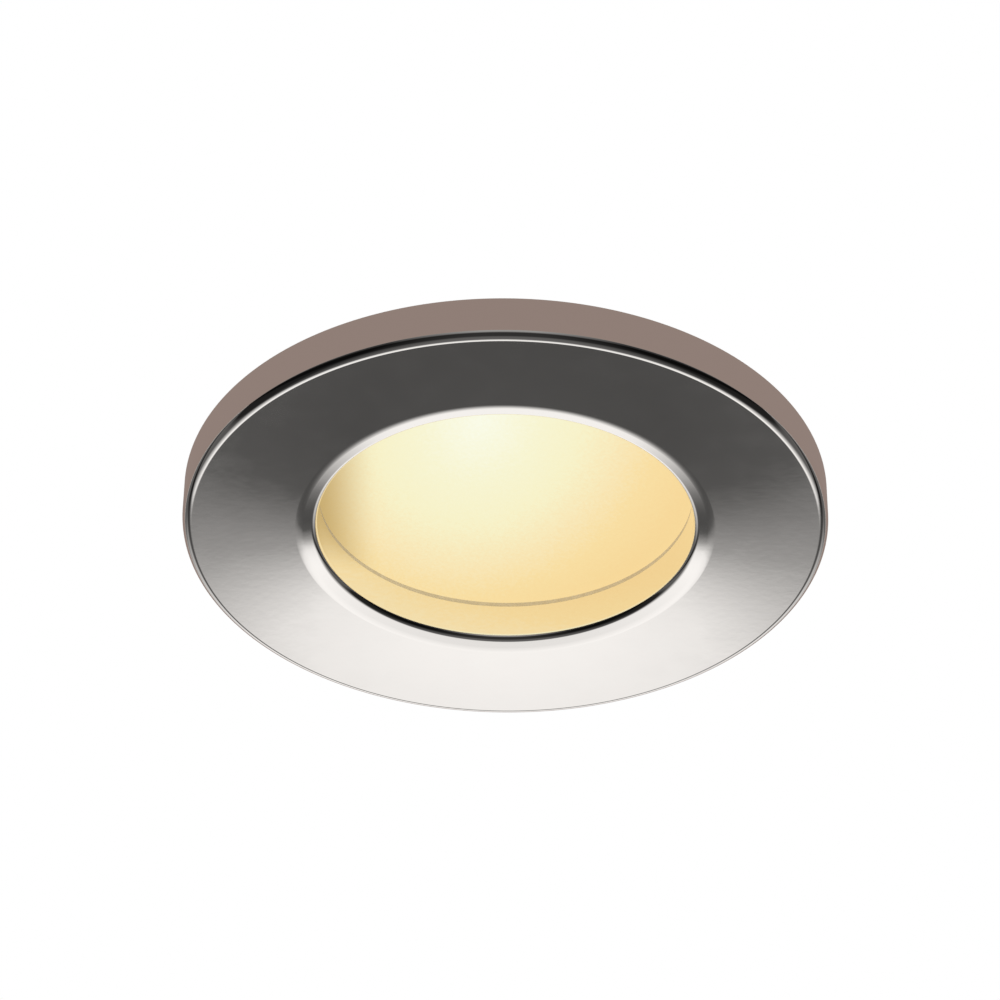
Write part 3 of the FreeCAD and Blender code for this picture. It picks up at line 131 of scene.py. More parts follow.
def board_paint():
    """White to the camera from below and clear from above. Mirrors see it dimmer below than above."""
    material = bpy.data.materials.new("soffit_paint")
    tree, out = node_tree(material)
    path, side = add(tree, "LightPath"), add(tree, "NewGeometry")
    seen = add(tree, "Math", operation="MAXIMUM")
    tree.links.new(path.outputs["Is Camera Ray"], seen.inputs[0])
    tree.links.new(path.outputs["Is Transmission Ray"], seen.inputs[1])
    below = add(tree, "Math", operation="MULTIPLY")
    tree.links.new(seen.outputs[0], below.inputs[0])
    tree.links.new(side.outputs["Backfacing"], below.inputs[1])
    shows = add(tree, "Math", operation="MAXIMUM")
    tree.links.new(below.outputs[0], shows.inputs[0])
    tree.links.new(path.outputs["Is Glossy Ray"], shows.inputs[1])
    mirrored = add(tree, "MixRGB")
    mirrored.inputs["Color1"].default_value = BOARD_MIRRORED_ABOVE
    mirrored.inputs["Color2"].default_value = BOARD_MIRRORED_BELOW
    tree.links.new(side.outputs["Backfacing"], mirrored.inputs["Fac"])
    colour = add(tree, "MixRGB")
    colour.inputs["Color1"].default_value = WHITE
    tree.links.new(path.outputs["Is Glossy Ray"], colour.inputs["Fac"])
    tree.links.new(mirrored.outputs["Color"], colour.inputs["Color2"])
    glow = add(tree, "Emission", Strength=1.0)
    tree.links.new(colour.outputs["Color"], glow.inputs["Color"])
    clear = add(tree, "BsdfTransparent")
    mix = add(tree, "MixShader")
    tree.links.new(shows.outputs[0], mix.inputs["Fac"])
    tree.links.new(clear.outputs[0], mix.inputs[1])
    tree.links.new(glow.outputs[0], mix.inputs[2])
    tree.links.new(mix.outputs[0], out.inputs["Surface"])
    return material


def floor_paint():
    """Plain pale floor far below, white to the camera."""
    material = bpy.data.materials.new("floor_paint")
    tree, out = node_tree(material)
    path = add(tree, "LightPath")
    matt = add(tree, "BsdfDiffuse", Color=FLOOR_COLOUR)
    glow = add(tree, "Emission", Color=WHITE, Strength=1.0)
    mix = add(tree, "MixShader")
    tree.links.new(path.outputs["Is Camera Ray"], mix.inputs["Fac"])
    tree.links.new(matt.outputs[0], mix.inputs[1])
    tree.links.new(glow.outputs[0], mix.inputs[2])
    tree.links.new(mix.outputs[0], out.inputs["Surface"])
    return material


board = flat_ring("soffit_board", BOARD_CUT_OUT_R, BOARD_R, BOARD_Z, board_paint())
board.visible_diffuse = board.visible_shadow = False
floor = flat_ring("pale_floor", 0.0, FLOOR_R, FLOOR_Z, floor_paint())
floor.visible_glossy = False

# The room that the chrome mirrors, as (degrees, brightness) round from straight down (0) to the far
# side (+Y, 90) or the near side (-90): a grey near wall, a dark near floor, a dim floor below, a pale
# far floor, a dark line and a pale far wall, all dimmer to left and right.
ROOM = [
    (-180, 0.90), (-100, 0.60), (-88, 0.32), (-75, 0.30), (-60, 0.03), (-22, 0.03), (-10, 0.10),
    (24, 0.13), (33, 0.75), (50, 1.00), (52, 0.88), (54, 0.10), (57, 0.06), (60, 0.14), (68, 0.95),
    (180, 0.90),
]
ROOM_WIDTH = (0.15, 0.60)
ROOM_ENDS = 0.12
ROOM_HORIZON = (-0.02, 0.05)
ROOM_TINT = (1.0, 0.985, 0.97, 1.0)
ROOM_SOFT = (0.55, 0.55, 0.56, 1.0)
LAMP_SIZE = 0.9
LAMPS = [
    ("key_lamp", (-0.9, -1.0, 1.3), 9.0), ("fill_lamp", (1.2, -0.5, 0.4), 4.0),
    ("back_lamp", (0.3, 1.3, 0.9), 5.0),
]


def room_light():
    """World colour: even white to the camera, the banded room to mirrors, soft pale light to the rest."""
    world = bpy.data.worlds.new("room")
    tree, out = node_tree(world)
    path, where = add(tree, "LightPath"), add(tree, "TexCoord")
    split = add(tree, "SeparateXYZ")
    tree.links.new(where.outputs["Generated"], split.inputs[0])
    down = add(tree, "Math", operation="MULTIPLY")
    down.inputs[1].default_value = -1.0
    tree.links.new(split.outputs["Z"], down.inputs[0])
    turn = add(tree, "Math", operation="ARCTAN2")
    tree.links.new(split.outputs["Y"], turn.inputs[0])
    tree.links.new(down.outputs[0], turn.inputs[1])
    turned = add(tree, "MapRange")
    turned.inputs["From Min"].default_value = -math.pi
    turned.inputs["From Max"].default_value = math.pi
    tree.links.new(turn.outputs[0], turned.inputs["Value"])
    mirror = ramp(tree, turned.outputs[0], [((degrees + 180) / 360, grey) for degrees, grey in ROOM])
    sideways = add(tree, "Math", operation="ABSOLUTE")
    tree.links.new(split.outputs["X"], sideways.inputs[0])
    ends = add(tree, "MapRange")
    ends.inputs["From Min"].default_value = ROOM_WIDTH[0]
    ends.inputs["From Max"].default_value = ROOM_WIDTH[1]
    ends.inputs["To Min"].default_value = 1.0
    ends.inputs["To Max"].default_value = ROOM_ENDS
    tree.links.new(sideways.outputs[0], ends.inputs["Value"])
    under = add(tree, "MapRange")
    under.inputs["From Min"].default_value = ROOM_HORIZON[0]
    under.inputs["From Max"].default_value = ROOM_HORIZON[1]
    tree.links.new(down.outputs[0], under.inputs["Value"])
    dimmed = add(tree, "MixRGB", blend_type="MULTIPLY")
    tree.links.new(under.outputs[0], dimmed.inputs["Fac"])
    tree.links.new(mirror.outputs["Color"], dimmed.inputs["Color1"])
    tree.links.new(ends.outputs[0], dimmed.inputs["Color2"])
    warm = add(tree, "MixRGB", blend_type="MULTIPLY")
    warm.inputs["Fac"].default_value = 1.0
    warm.inputs["Color2"].default_value = ROOM_TINT
    tree.links.new(dimmed.outputs["Color"], warm.inputs["Color1"])
    soft = add(tree, "MixRGB")
    soft.inputs["Color1"].default_value = ROOM_SOFT
    tree.links.new(path.outputs["Is Glossy Ray"], soft.inputs["Fac"])
    tree.links.new(warm.outputs["Color"], soft.inputs["Color2"])
    seen = add(tree, "MixRGB")
    seen.inputs["Color2"].default_value = WHITE
    either = add(tree, "Math", operation="MAXIMUM")
    tree.links.new(path.outputs["Is Camera Ray"], either.inputs[0])
    tree.links.new(path.outputs["Is Transmission Ray"], either.inputs[1])
    tree.links.new(either.outputs[0], seen.inputs["Fac"])
    tree.links.new(soft.outputs["Color"], seen.inputs["Color1"])
    background = add(tree, "Background", Strength=1.0)
    tree.links.new(seen.outputs["Color"], background.inputs["Color"])
    tree.links.new(background.outputs[0], out.inputs["Surface"])
    return world


def soft_lamp(name, place, watts):
    """A square area lamp that faces the origin and isn't mirrored."""
    data = bpy.data.lights.new(name, "AREA")
    data.size = LAMP_SIZE
    data.energy = watts
    lamp = bpy.data.objects.new(name, data)
    bpy.context.scene.collection.objects.link(lamp)
    facing = (-Vector(place)).to_track_quat("-Z", "Y").to_matrix().to_4x4()
    lamp.matrix_world = Matrix.Translation(place) @ facing
    lamp.visible_glossy = False
    return lamp


bpy.context.scene.world = room_light()
for name, place, watts in LAMPS:
    soft_lamp(name, place, watts)

# ------------------------------------------------------------------ bezel
# Zinc die-casting, polished and chrome plated: a mirror with a faint warm cast and a very fine
# orange-peel left by the plating. It is turned in one piece here, so that the mirror is smooth all
# round: dished face, rolled lip, short bore, and the collar behind that carries the thread.

APERTURE_R = 0.0248
BEZEL_R = 0.0425
BEZEL_WALL = 0.0017
SEAT_Z = 0.0004
LIP_Z = -0.0050
FACE_Z = -0.0061
LIP_BLEND = (0.0024, 0.0004, 0.0080)
COLLAR_R = 0.0300
COLLAR_BORE_R = 0.0284
COLLAR_END_Z = 0.0052
BEZEL_PROFILE = [
    (APERTURE_R, SEAT_Z, 0.00015), (APERTURE_R, LIP_Z, 0.0009),
    (APERTURE_R + LIP_BLEND[0], LIP_Z - LIP_BLEND[1], LIP_BLEND[2]), (BEZEL_R, FACE_Z, 0.0012),
    (BEZEL_R, -0.0001, 0.0003), (BEZEL_R - BEZEL_WALL, -0.0001, 0),
    (BEZEL_R - BEZEL_WALL, FACE_Z + BEZEL_WALL, 0.0008), (COLLAR_R, FACE_Z + BEZEL_WALL + 0.00055, 0.0004),
    (COLLAR_R, COLLAR_END_Z, 0.0004), (COLLAR_BORE_R, COLLAR_END_Z, 0.0003), (COLLAR_BORE_R, SEAT_Z, 0),
]
BEZEL_SEGMENTS = 256
ARC_STEP = math.radians(4.5)
EDGE_SUPPORT = 0.00004
MERGE_DISTANCE = 1e-7
SHARP_ANGLE = math.radians(35)
PLATING = (0.955, 0.935, 0.915, 1.0)
PLATING_PEEL = 900.0


def outward(mesh):
    """Merges doubles and turns every face of a closed mesh outwards."""
    made = bmesh.new()
    made.from_mesh(mesh)
    bmesh.ops.remove_doubles(made, verts=made.verts, dist=MERGE_DISTANCE)
    bmesh.ops.recalc_face_normals(made, faces=made.faces)
    made.to_mesh(mesh)
    made.free()


def rounded(corners):
    """Points round a closed (r, z, corner radius) profile, with one more close to each end of a bend."""
    points = []
    for i, (r, z, radius) in enumerate(corners):
        corner = Vector((r, z))
        before = (Vector(corners[i - 1][:2]) - corner).normalized()
        after = (Vector(corners[(i + 1) % len(corners)][:2]) - corner).normalized()
        turn = math.pi - before.angle(after)
        setback = radius * math.tan(turn / 2)
        points.append(corner + before * (setback + EDGE_SUPPORT))
        if radius > 0:
            centre = corner + (before + after).normalized() * (radius / math.cos(turn / 2))
            spoke = corner + before * setback - centre
            way = 1 if before.x * after.y - before.y * after.x < 0 else -1
            steps = math.ceil(turn / ARC_STEP)
            points += [centre + Matrix.Rotation(way * turn * k / steps, 2) @ spoke for k in range(steps + 1)]
        else:
            points.append(corner)
        points.append(corner + after * (setback + EDGE_SUPPORT))
    return points


def spun(name, profile, segments, material):
    """A closed ring turned about Z from a closed profile, smooth but for its sharp corners."""
    count = len(profile)
    turns = [2 * math.pi * i / segments for i in range(segments)]
    points = [(p.x * math.cos(a), p.x * math.sin(a), p.y) for a in turns for p in profile]
    faces = []
    for i in range(segments):
        here, there = i * count, (i + 1) % segments * count
        for j in range(count):
            k = (j + 1) % count
            faces.append((here + j, here + k, there + k, there + j))
    mesh = bpy.data.meshes.new(name)
    mesh.from_pydata(points, [], faces)
    mesh.materials.append(material)
    outward(mesh)
    mesh.shade_smooth()
    mesh.set_sharp_from_angle(angle=SHARP_ANGLE)
    piece = bpy.data.objects.new(name, mesh)
    bpy.context.scene.collection.objects.link(piece)
    return piece


def principled(name, colour, roughness, metallic=0.0):
    """A material with one Principled shader, and its tree for patterns."""
    material = bpy.data.materials.new(name)
    tree, out = node_tree(material)
    shader = add(tree, "BsdfPrincipled", Base_Color=colour, Roughness=roughness, Metallic=metallic)
    tree.links.new(shader.outputs[0], out.inputs["Surface"])
    return material, tree, shader


def noise(tree, scale, detail=3.0, stretch=(1.0, 1.0, 1.0)):
    """Noise on the piece's own coordinates, stretched by a factor along each axis."""
    where = add(tree, "TexCoord")
    lay = add(tree, "Mapping")
    lay.inputs["Scale"].default_value = stretch
    tree.links.new(where.outputs["Object"], lay.inputs["Vector"])
    cloud = add(tree, "TexNoise", Scale=scale, Detail=detail)
    tree.links.new(lay.outputs[0], cloud.inputs["Vector"])
    return cloud


def bump(tree, shader, height, strength, depth):
    node = add(tree, "Bump", Strength=strength, Distance=depth)
    tree.links.new(height, node.inputs["Height"])
    tree.links.new(node.outputs[0], shader.inputs["Normal"])


def vary(tree, shader, socket, source, low, high):
    """Lets a pattern move one of the shader's inputs between two values or colours."""
    colour = ramp(tree, source, [(0.35, low), (0.65, high)])
    tree.links.new(colour.outputs["Color"], shader.inputs[socket])


def chrome_plate():
    material, tree, shader = principled("chrome_plate", PLATING, 0.035, 1.0)
    vary(tree, shader, "Roughness", noise(tree, 240.0).outputs["Fac"], 0.03, 0.055)
    bump(tree, shader, noise(tree, PLATING_PEEL, 2.0).outputs["Fac"], 0.04, 0.00002)
    return material


def dress(node_name, material):
    """Gives a CAD node its finish."""
    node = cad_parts[node_name]
    node.data.materials.clear()
    node.data.materials.append(material)
    for face in node.data.polygons:
        face.material_index = 0
    return node


chrome = chrome_plate()
bezel_ring = spun("bezel_ring", rounded(BEZEL_PROFILE), BEZEL_SEGMENTS, chrome)
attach(bezel_ring, "bezel")
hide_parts("bezel")

# ------------------------------------------------------------------ collar thread
# The bezel's 60 mm thread, 1.5 mm pitch, is three turns cast on the collar. Each turn is a
# low rounded ridge, made with Geometry Nodes as a spiral curve that carries a small profile.

COLLAR_THREAD_PITCH = 0.0015
COLLAR_THREAD_TURNS = 3.0
COLLAR_THREAD_TOP = 0.0047
COLLAR_THREAD_HEIGHT = 0.00019
COLLAR_THREAD_HALF_WIDTH = 0.00050
THREAD_STEPS_PER_TURN = 96
RIDGE_SIDES = 8


def thread_tree(name):
    """Geometry Nodes: a spiral of Radius, Pitch and Turns up from Bottom, swept with a flat oval."""
    tree = bpy.data.node_groups.new(name, "GeometryNodeTree")
    face = tree.interface
    face.new_socket("Geometry", in_out="OUTPUT", socket_type="NodeSocketGeometry")
    for label in ("Radius", "Pitch", "Turns", "Bottom", "Ridge Height", "Ridge Half Width"):
        face.new_socket(label, in_out="INPUT", socket_type="NodeSocketFloat")
    face.new_socket("Finish", in_out="INPUT", socket_type="NodeSocketMaterial")
    given, result = tree.nodes.new("NodeGroupInput"), tree.nodes.new("NodeGroupOutput")
    height = tree.nodes.new("ShaderNodeMath")
    height.operation = "MULTIPLY"
    tree.links.new(given.outputs["Pitch"], height.inputs[0])
    tree.links.new(given.outputs["Turns"], height.inputs[1])
    spiral = tree.nodes.new("GeometryNodeCurveSpiral")
    spiral.inputs["Resolution"].default_value = THREAD_STEPS_PER_TURN
    tree.links.new(given.outputs["Turns"], spiral.inputs["Rotations"])
    tree.links.new(given.outputs["Radius"], spiral.inputs["Start Radius"])
    tree.links.new(given.outputs["Radius"], spiral.inputs["End Radius"])
    tree.links.new(height.outputs[0], spiral.inputs["Height"])
    ring = tree.nodes.new("GeometryNodeCurvePrimitiveCircle")
    ring.inputs["Resolution"].default_value = RIDGE_SIDES
    ring.inputs["Radius"].default_value = 1.0
    scale = tree.nodes.new("ShaderNodeCombineXYZ")
    scale.inputs["Z"].default_value = 1.0
    tree.links.new(given.outputs["Ridge Height"], scale.inputs["X"])
    tree.links.new(given.outputs["Ridge Half Width"], scale.inputs["Y"])
    profile = tree.nodes.new("GeometryNodeTransform")
    tree.links.new(ring.outputs["Curve"], profile.inputs["Geometry"])
    tree.links.new(scale.outputs[0], profile.inputs["Scale"])
    upright = tree.nodes.new("GeometryNodeSetCurveNormal")
    upright.mode = "Z_UP"
    tree.links.new(spiral.outputs["Curve"], upright.inputs["Curve"])
    sweep = tree.nodes.new("GeometryNodeCurveToMesh")
    sweep.inputs["Fill Caps"].default_value = True
    tree.links.new(upright.outputs[0], sweep.inputs["Curve"])
    tree.links.new(profile.outputs[0], sweep.inputs["Profile Curve"])
    lift = tree.nodes.new("ShaderNodeCombineXYZ")
    tree.links.new(given.outputs["Bottom"], lift.inputs["Z"])
    place = tree.nodes.new("GeometryNodeTransform")
    tree.links.new(sweep.outputs[0], place.inputs["Geometry"])
    tree.links.new(lift.outputs[0], place.inputs["Translation"])
    smooth = tree.nodes.new("GeometryNodeSetShadeSmooth")
    tree.links.new(place.outputs[0], smooth.inputs["Geometry"])
    real = tree.nodes.new("GeometryNodeRealizeInstances")
    tree.links.new(smooth.outputs[0], real.inputs["Geometry"])
    finish = tree.nodes.new("GeometryNodeSetMaterial")
    tree.links.new(real.outputs[0], finish.inputs["Geometry"])
    tree.links.new(given.outputs["Finish"], finish.inputs["Material"])
    tree.links.new(finish.outputs[0], result.inputs["Geometry"])
    return tree


def grown(name, tree, values, body, place=Matrix.Identity(4)):
    """Runs a Geometry Nodes tree, keeps its result as a plain mesh and lets it ride on a body."""
    seed = bpy.data.objects.new(name + "_seed", bpy.data.meshes.new(name + "_seed"))
    bpy.context.scene.collection.objects.link(seed)
    modifier = seed.modifiers.new("grow", "NODES")
    modifier.node_group = tree
    sockets = {item.name: item.identifier for item in tree.interface.items_tree if item.in_out == "INPUT"}
    for label, value in values.items():
        modifier[sockets[label]] = value
    bpy.context.view_layer.update()
    depsgraph = bpy.context.evaluated_depsgraph_get()
    mesh = bpy.data.meshes.new_from_object(seed.evaluated_get(depsgraph))
    seed.modifiers.clear()
    bpy.data.objects.remove(seed)
    mesh.name = name
    mesh.transform(place)
    piece = bpy.data.objects.new(name, mesh)
    bpy.context.scene.collection.objects.link(piece)
    outward(mesh)
    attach(piece, body)
    return piece


thread = thread_tree("screw_thread")
grown("collar_thread", thread, {
    "Radius": COLLAR_R, "Pitch": COLLAR_THREAD_PITCH, "Turns": COLLAR_THREAD_TURNS,
    "Bottom": COLLAR_THREAD_TOP - COLLAR_THREAD_PITCH * COLLAR_THREAD_TURNS,
    "Ridge Height": COLLAR_THREAD_HEIGHT, "Ridge Half Width": COLLAR_THREAD_HALF_WIDTH, "Finish": chrome,
}, "bezel")

# ------------------------------------------------------------------ front glass
# Toughened glass disc, acid-etched to a fine frost. The light of the lamp behind it is painted into the
# glass as a glow in its emission colour: a painted pool of cream white where the lamp's beam meets it,
# turning amber towards the side away from the viewer, and painted shade towards its left edge.

# Painted light: the place, size and colours of the painted pool of the lamp's beam on the glass.
BEAM_CENTRE = (-0.0035, -0.016, 0.0)
BEAM_REACH = (0.024, 0.040, 1.0)
BEAM_TURN = math.radians(7.0)
PAINTED_BEAM_COLOURS = [
    (0.00, (0.93, 0.94, 0.78)), (0.26, (0.91, 0.885, 0.62)), (0.46, (0.91, 0.86, 0.56)),
    (0.66, (0.92, 0.765, 0.44)), (0.80, (0.92, 0.71, 0.345)), (1.00, (0.91, 0.67, 0.31)),
]
BEAM_SPREAD = 1.25
BEAM_SPECKLE = 0.22
# Painted shade: the glass's glow turns darker amber towards its left edge.
PAINTED_SHADE_X = (-0.0258, -0.0165)
PAINTED_SHADE_COLOUR = (0.55, 0.39, 0.15, 1.0)


def frost_with_painted_glow():
    material, tree, shader = principled("frosted_glass_painted_glow", (0.03, 0.03, 0.03, 1.0), 0.55)
    where = add(tree, "TexCoord")
    spot = add(tree, "Mapping", vector_type="TEXTURE")
    spot.inputs["Location"].default_value = BEAM_CENTRE
    spot.inputs["Rotation"].default_value = (0.0, 0.0, BEAM_TURN)
    spot.inputs["Scale"].default_value = BEAM_REACH
    tree.links.new(where.outputs["Object"], spot.inputs["Vector"])
    flat = add(tree, "VectorMath", operation="MULTIPLY")
    flat.inputs[1].default_value = (1.0, 1.0, 0.0)
    tree.links.new(spot.outputs[0], flat.inputs[0])
    reach = add(tree, "VectorMath", operation="LENGTH")
    tree.links.new(flat.outputs[0], reach.inputs[0])
    share = add(tree, "MapRange")
    share.inputs["From Max"].default_value = BEAM_SPREAD
    tree.links.new(reach.outputs["Value"], share.inputs["Value"])
    speckle = noise(tree, 2600.0, 2.0)
    uneven = add(tree, "Math", operation="MULTIPLY_ADD")
    uneven.inputs[1].default_value = BEAM_SPECKLE
    tree.links.new(speckle.outputs["Fac"], uneven.inputs[0])
    tree.links.new(share.outputs[0], uneven.inputs[2])
    level = add(tree, "Math", operation="SUBTRACT")
    level.inputs[1].default_value = BEAM_SPECKLE / 2
    tree.links.new(uneven.outputs[0], level.inputs[0])
    beam = ramp(tree, level.outputs[0], PAINTED_BEAM_COLOURS)
    axes = add(tree, "SeparateXYZ")
    tree.links.new(where.outputs["Object"], axes.inputs[0])
    # Painted shade mask, rising towards the glass's left side.
    edge = add(tree, "MapRange", interpolation_type="SMOOTHSTEP")
    edge.inputs["From Min"].default_value = PAINTED_SHADE_X[1]
    edge.inputs["From Max"].default_value = PAINTED_SHADE_X[0]
    tree.links.new(axes.outputs["X"], edge.inputs["Value"])
    painted_shade = add(tree, "MixRGB")
    painted_shade.inputs["Color2"].default_value = PAINTED_SHADE_COLOUR
    tree.links.new(edge.outputs[0], painted_shade.inputs["Fac"])
    tree.links.new(beam.outputs["Color"], painted_shade.inputs["Color1"])
    # The painted glow is the glass's emission colour, so the glass shines though it is no lamp.
    tree.links.new(painted_shade.outputs["Color"], shader.inputs["Emission Color"])
    shader.inputs["Emission Strength"].default_value = 1.0
    shader.inputs["Specular IOR Level"].default_value = 0.2
    bump(tree, shader, speckle.outputs["Fac"], 0.25, 0.00008)
    return material


dress("front_glass", frost_with_painted_glow())

# ------------------------------------------------------------------ gaskets and seals
# Moulded silicone round the glass, closed-cell foam against the ceiling, and black nitrile in the
# cover's groove and in the gland. All are matt, with the fine skin of a moulding.


def rubber(name, colour, pale, roughness=0.62, grain=700.0):
    """Matt rubber between two near shades."""
    material, tree, shader = principled(name, colour + (1.0,), roughness)
    cloud = noise(tree, grain)
    vary(tree, shader, "Base Color", cloud.outputs["Fac"], colour, pale)
    bump(tree, shader, cloud.outputs["Fac"], 0.2, 0.00006)
    return material


silicone = rubber("white_silicone", (0.80, 0.74, 0.62), (0.86, 0.81, 0.70), 0.5)
dress("lens_gasket", silicone)
foam = rubber("grey_foam", (0.05, 0.05, 0.055), (0.12, 0.12, 0.125), 0.85, 2600.0)
dress("ceiling_gasket", foam)
black_rubber = rubber("black_rubber", (0.018, 0.018, 0.018), (0.03, 0.03, 0.031))
for name in ("cover_o_ring", "gland_seal_washer", "gland_insert"):
    dress(name, black_rubber)

# ------------------------------------------------------------------ housing and rear cover
# Pressure die-cast aluminium, shot-blasted after trimming: satin grey, with a fine grain and slight
# clouding from the mould.

CAST_GRAIN = 1700.0


def cast_aluminium():
    material, tree, shader = principled("cast_aluminium", (0.55, 0.555, 0.565, 1.0), 0.42, 1.0)
    cloud = noise(tree, 150.0, 5.0)
    vary(tree, shader, "Base Color", cloud.outputs["Fac"], (0.53, 0.535, 0.545), (0.59, 0.592, 0.60))
    vary(tree, shader, "Roughness", noise(tree, 160.0, 4.0).outputs["Fac"], 0.36, 0.50)
    bump(tree, shader, noise(tree, CAST_GRAIN, 2.0).outputs["Fac"], 0.35, 0.00010)
    return material


cast = cast_aluminium()
dress("housing", cast)
dress("rear_cover", cast)

# ------------------------------------------------------------------ cable gland
# Injection-moulded black nylon with a dull moulded skin, on a brass lock nut inside the cover. The
# real one has an M16 thread, which is left plain here as it is in the CAD.


def moulded_nylon():
    material, tree, shader = principled("black_nylon", (0.022, 0.022, 0.023, 1.0), 0.45)
    vary(tree, shader, "Roughness", noise(tree, 300.0).outputs["Fac"], 0.38, 0.52)
    bump(tree, shader, noise(tree, 1400.0).outputs["Fac"], 0.15, 0.00005)
    return material


nylon = moulded_nylon()
dress("gland_body", nylon)
dress("gland_cap_nut", nylon)

# ------------------------------------------------------------------ bright metal: screws, clips, wire
# Stainless screws and pins, drawn spring wire, zinc-plated pressings and machined brass. Rolled and
# drawn metal shows fine lines along its length, and zinc has a bluish bloom.


def bright_metal(name, dark, light, rough, lines, stretch):
    """Metal with fine drawn or rolled lines."""
    material, tree, shader = principled(name, light + (1.0,), rough[0], 1.0)
    grain = noise(tree, lines, 3.0, stretch)
    vary(tree, shader, "Base Color", grain.outputs["Fac"], dark, light)
    vary(tree, shader, "Roughness", noise(tree, lines / 3.0).outputs["Fac"], *rough)
    bump(tree, shader, grain.outputs["Fac"], 0.15, 0.00003)
    return material


stainless = bright_metal(
    "stainless", (0.56, 0.56, 0.555), (0.68, 0.68, 0.67), (0.2, 0.32), 900.0, (1.0, 1.0, 6.0))
spring_wire = bright_metal(
    "spring_wire", (0.42, 0.42, 0.415), (0.56, 0.56, 0.55), (0.22, 0.34), 800.0, (1, 5, 1))
zinc = bright_metal(
    "zinc_plate", (0.63, 0.645, 0.66), (0.70, 0.715, 0.73), (0.28, 0.42), 700.0, (1.0, 4.0, 1.0))
brass = bright_metal(
    "brass", (0.66, 0.47, 0.20), (0.80, 0.61, 0.30), (0.2, 0.32), 700.0, (1.0, 1.0, 4.0))
tungsten = bright_metal(
    "tungsten", (0.25, 0.24, 0.23), (0.38, 0.37, 0.36), (0.35, 0.5), 900.0, (1.0, 1.0, 1.0))
METAL_PIECES = [
    (stainless, "stainless", ["cover_screws", "lamp_pins", "holder_screws", "plate_screws", "terminal_screws",
                              "terminal_block_screw", "bracket_screws", "clip_pin_left", "clip_pin_right"]),
    (spring_wire, "spring_steel", ["lamp_retaining_ring"]),
    (zinc, "zinc_plate", ["holder_plate", "clip_bracket_left", "clip_bracket_right", "clip_arm_left",
                          "clip_arm_right"]),
    (brass, "brass", ["gland_lock_nut", "lampholder_contacts", "terminal_tubes"]),
    (tungsten, "tungsten", ["lamp_filament"]),
]
for metal, slot_name, pieces in METAL_PIECES:
    for name in pieces:
        dress(name, metal)

# ------------------------------------------------------------------ clip springs
# Torsion springs of drawn wire round the clips' pins: one leg stands up the bracket, the other lies
# along the arm. The last third of a turn and its leg swing with the arm, and the rest stays put.

SPRING_WIRE_R = 0.0004
SPRING_COIL_R = 0.0019
SPRING_PITCH = 0.00126
SPRING_FIRST = math.radians(184.8)
SPRING_LAST = math.radians(1685.0)
SPRING_MOVING = math.radians(120.0)
SPRING_LEG_UP = 0.0056
SPRING_LEG_OUT = 0.0072
WIRE_SIDES = 14
COIL_POINTS = 300
LEG_POINTS = 70
PIVOT_X = 0.0324
PIVOT_Z = 0.0240


def calc(tree, operation, *values):
    """A maths node on sockets or plain numbers."""
    node = tree.nodes.new("ShaderNodeMath")
    node.operation = operation
    for socket, value in zip(node.inputs, values):
        if isinstance(value, (int, float)):
            socket.default_value = value
        else:
            tree.links.new(value, socket)
    return node.outputs[0]


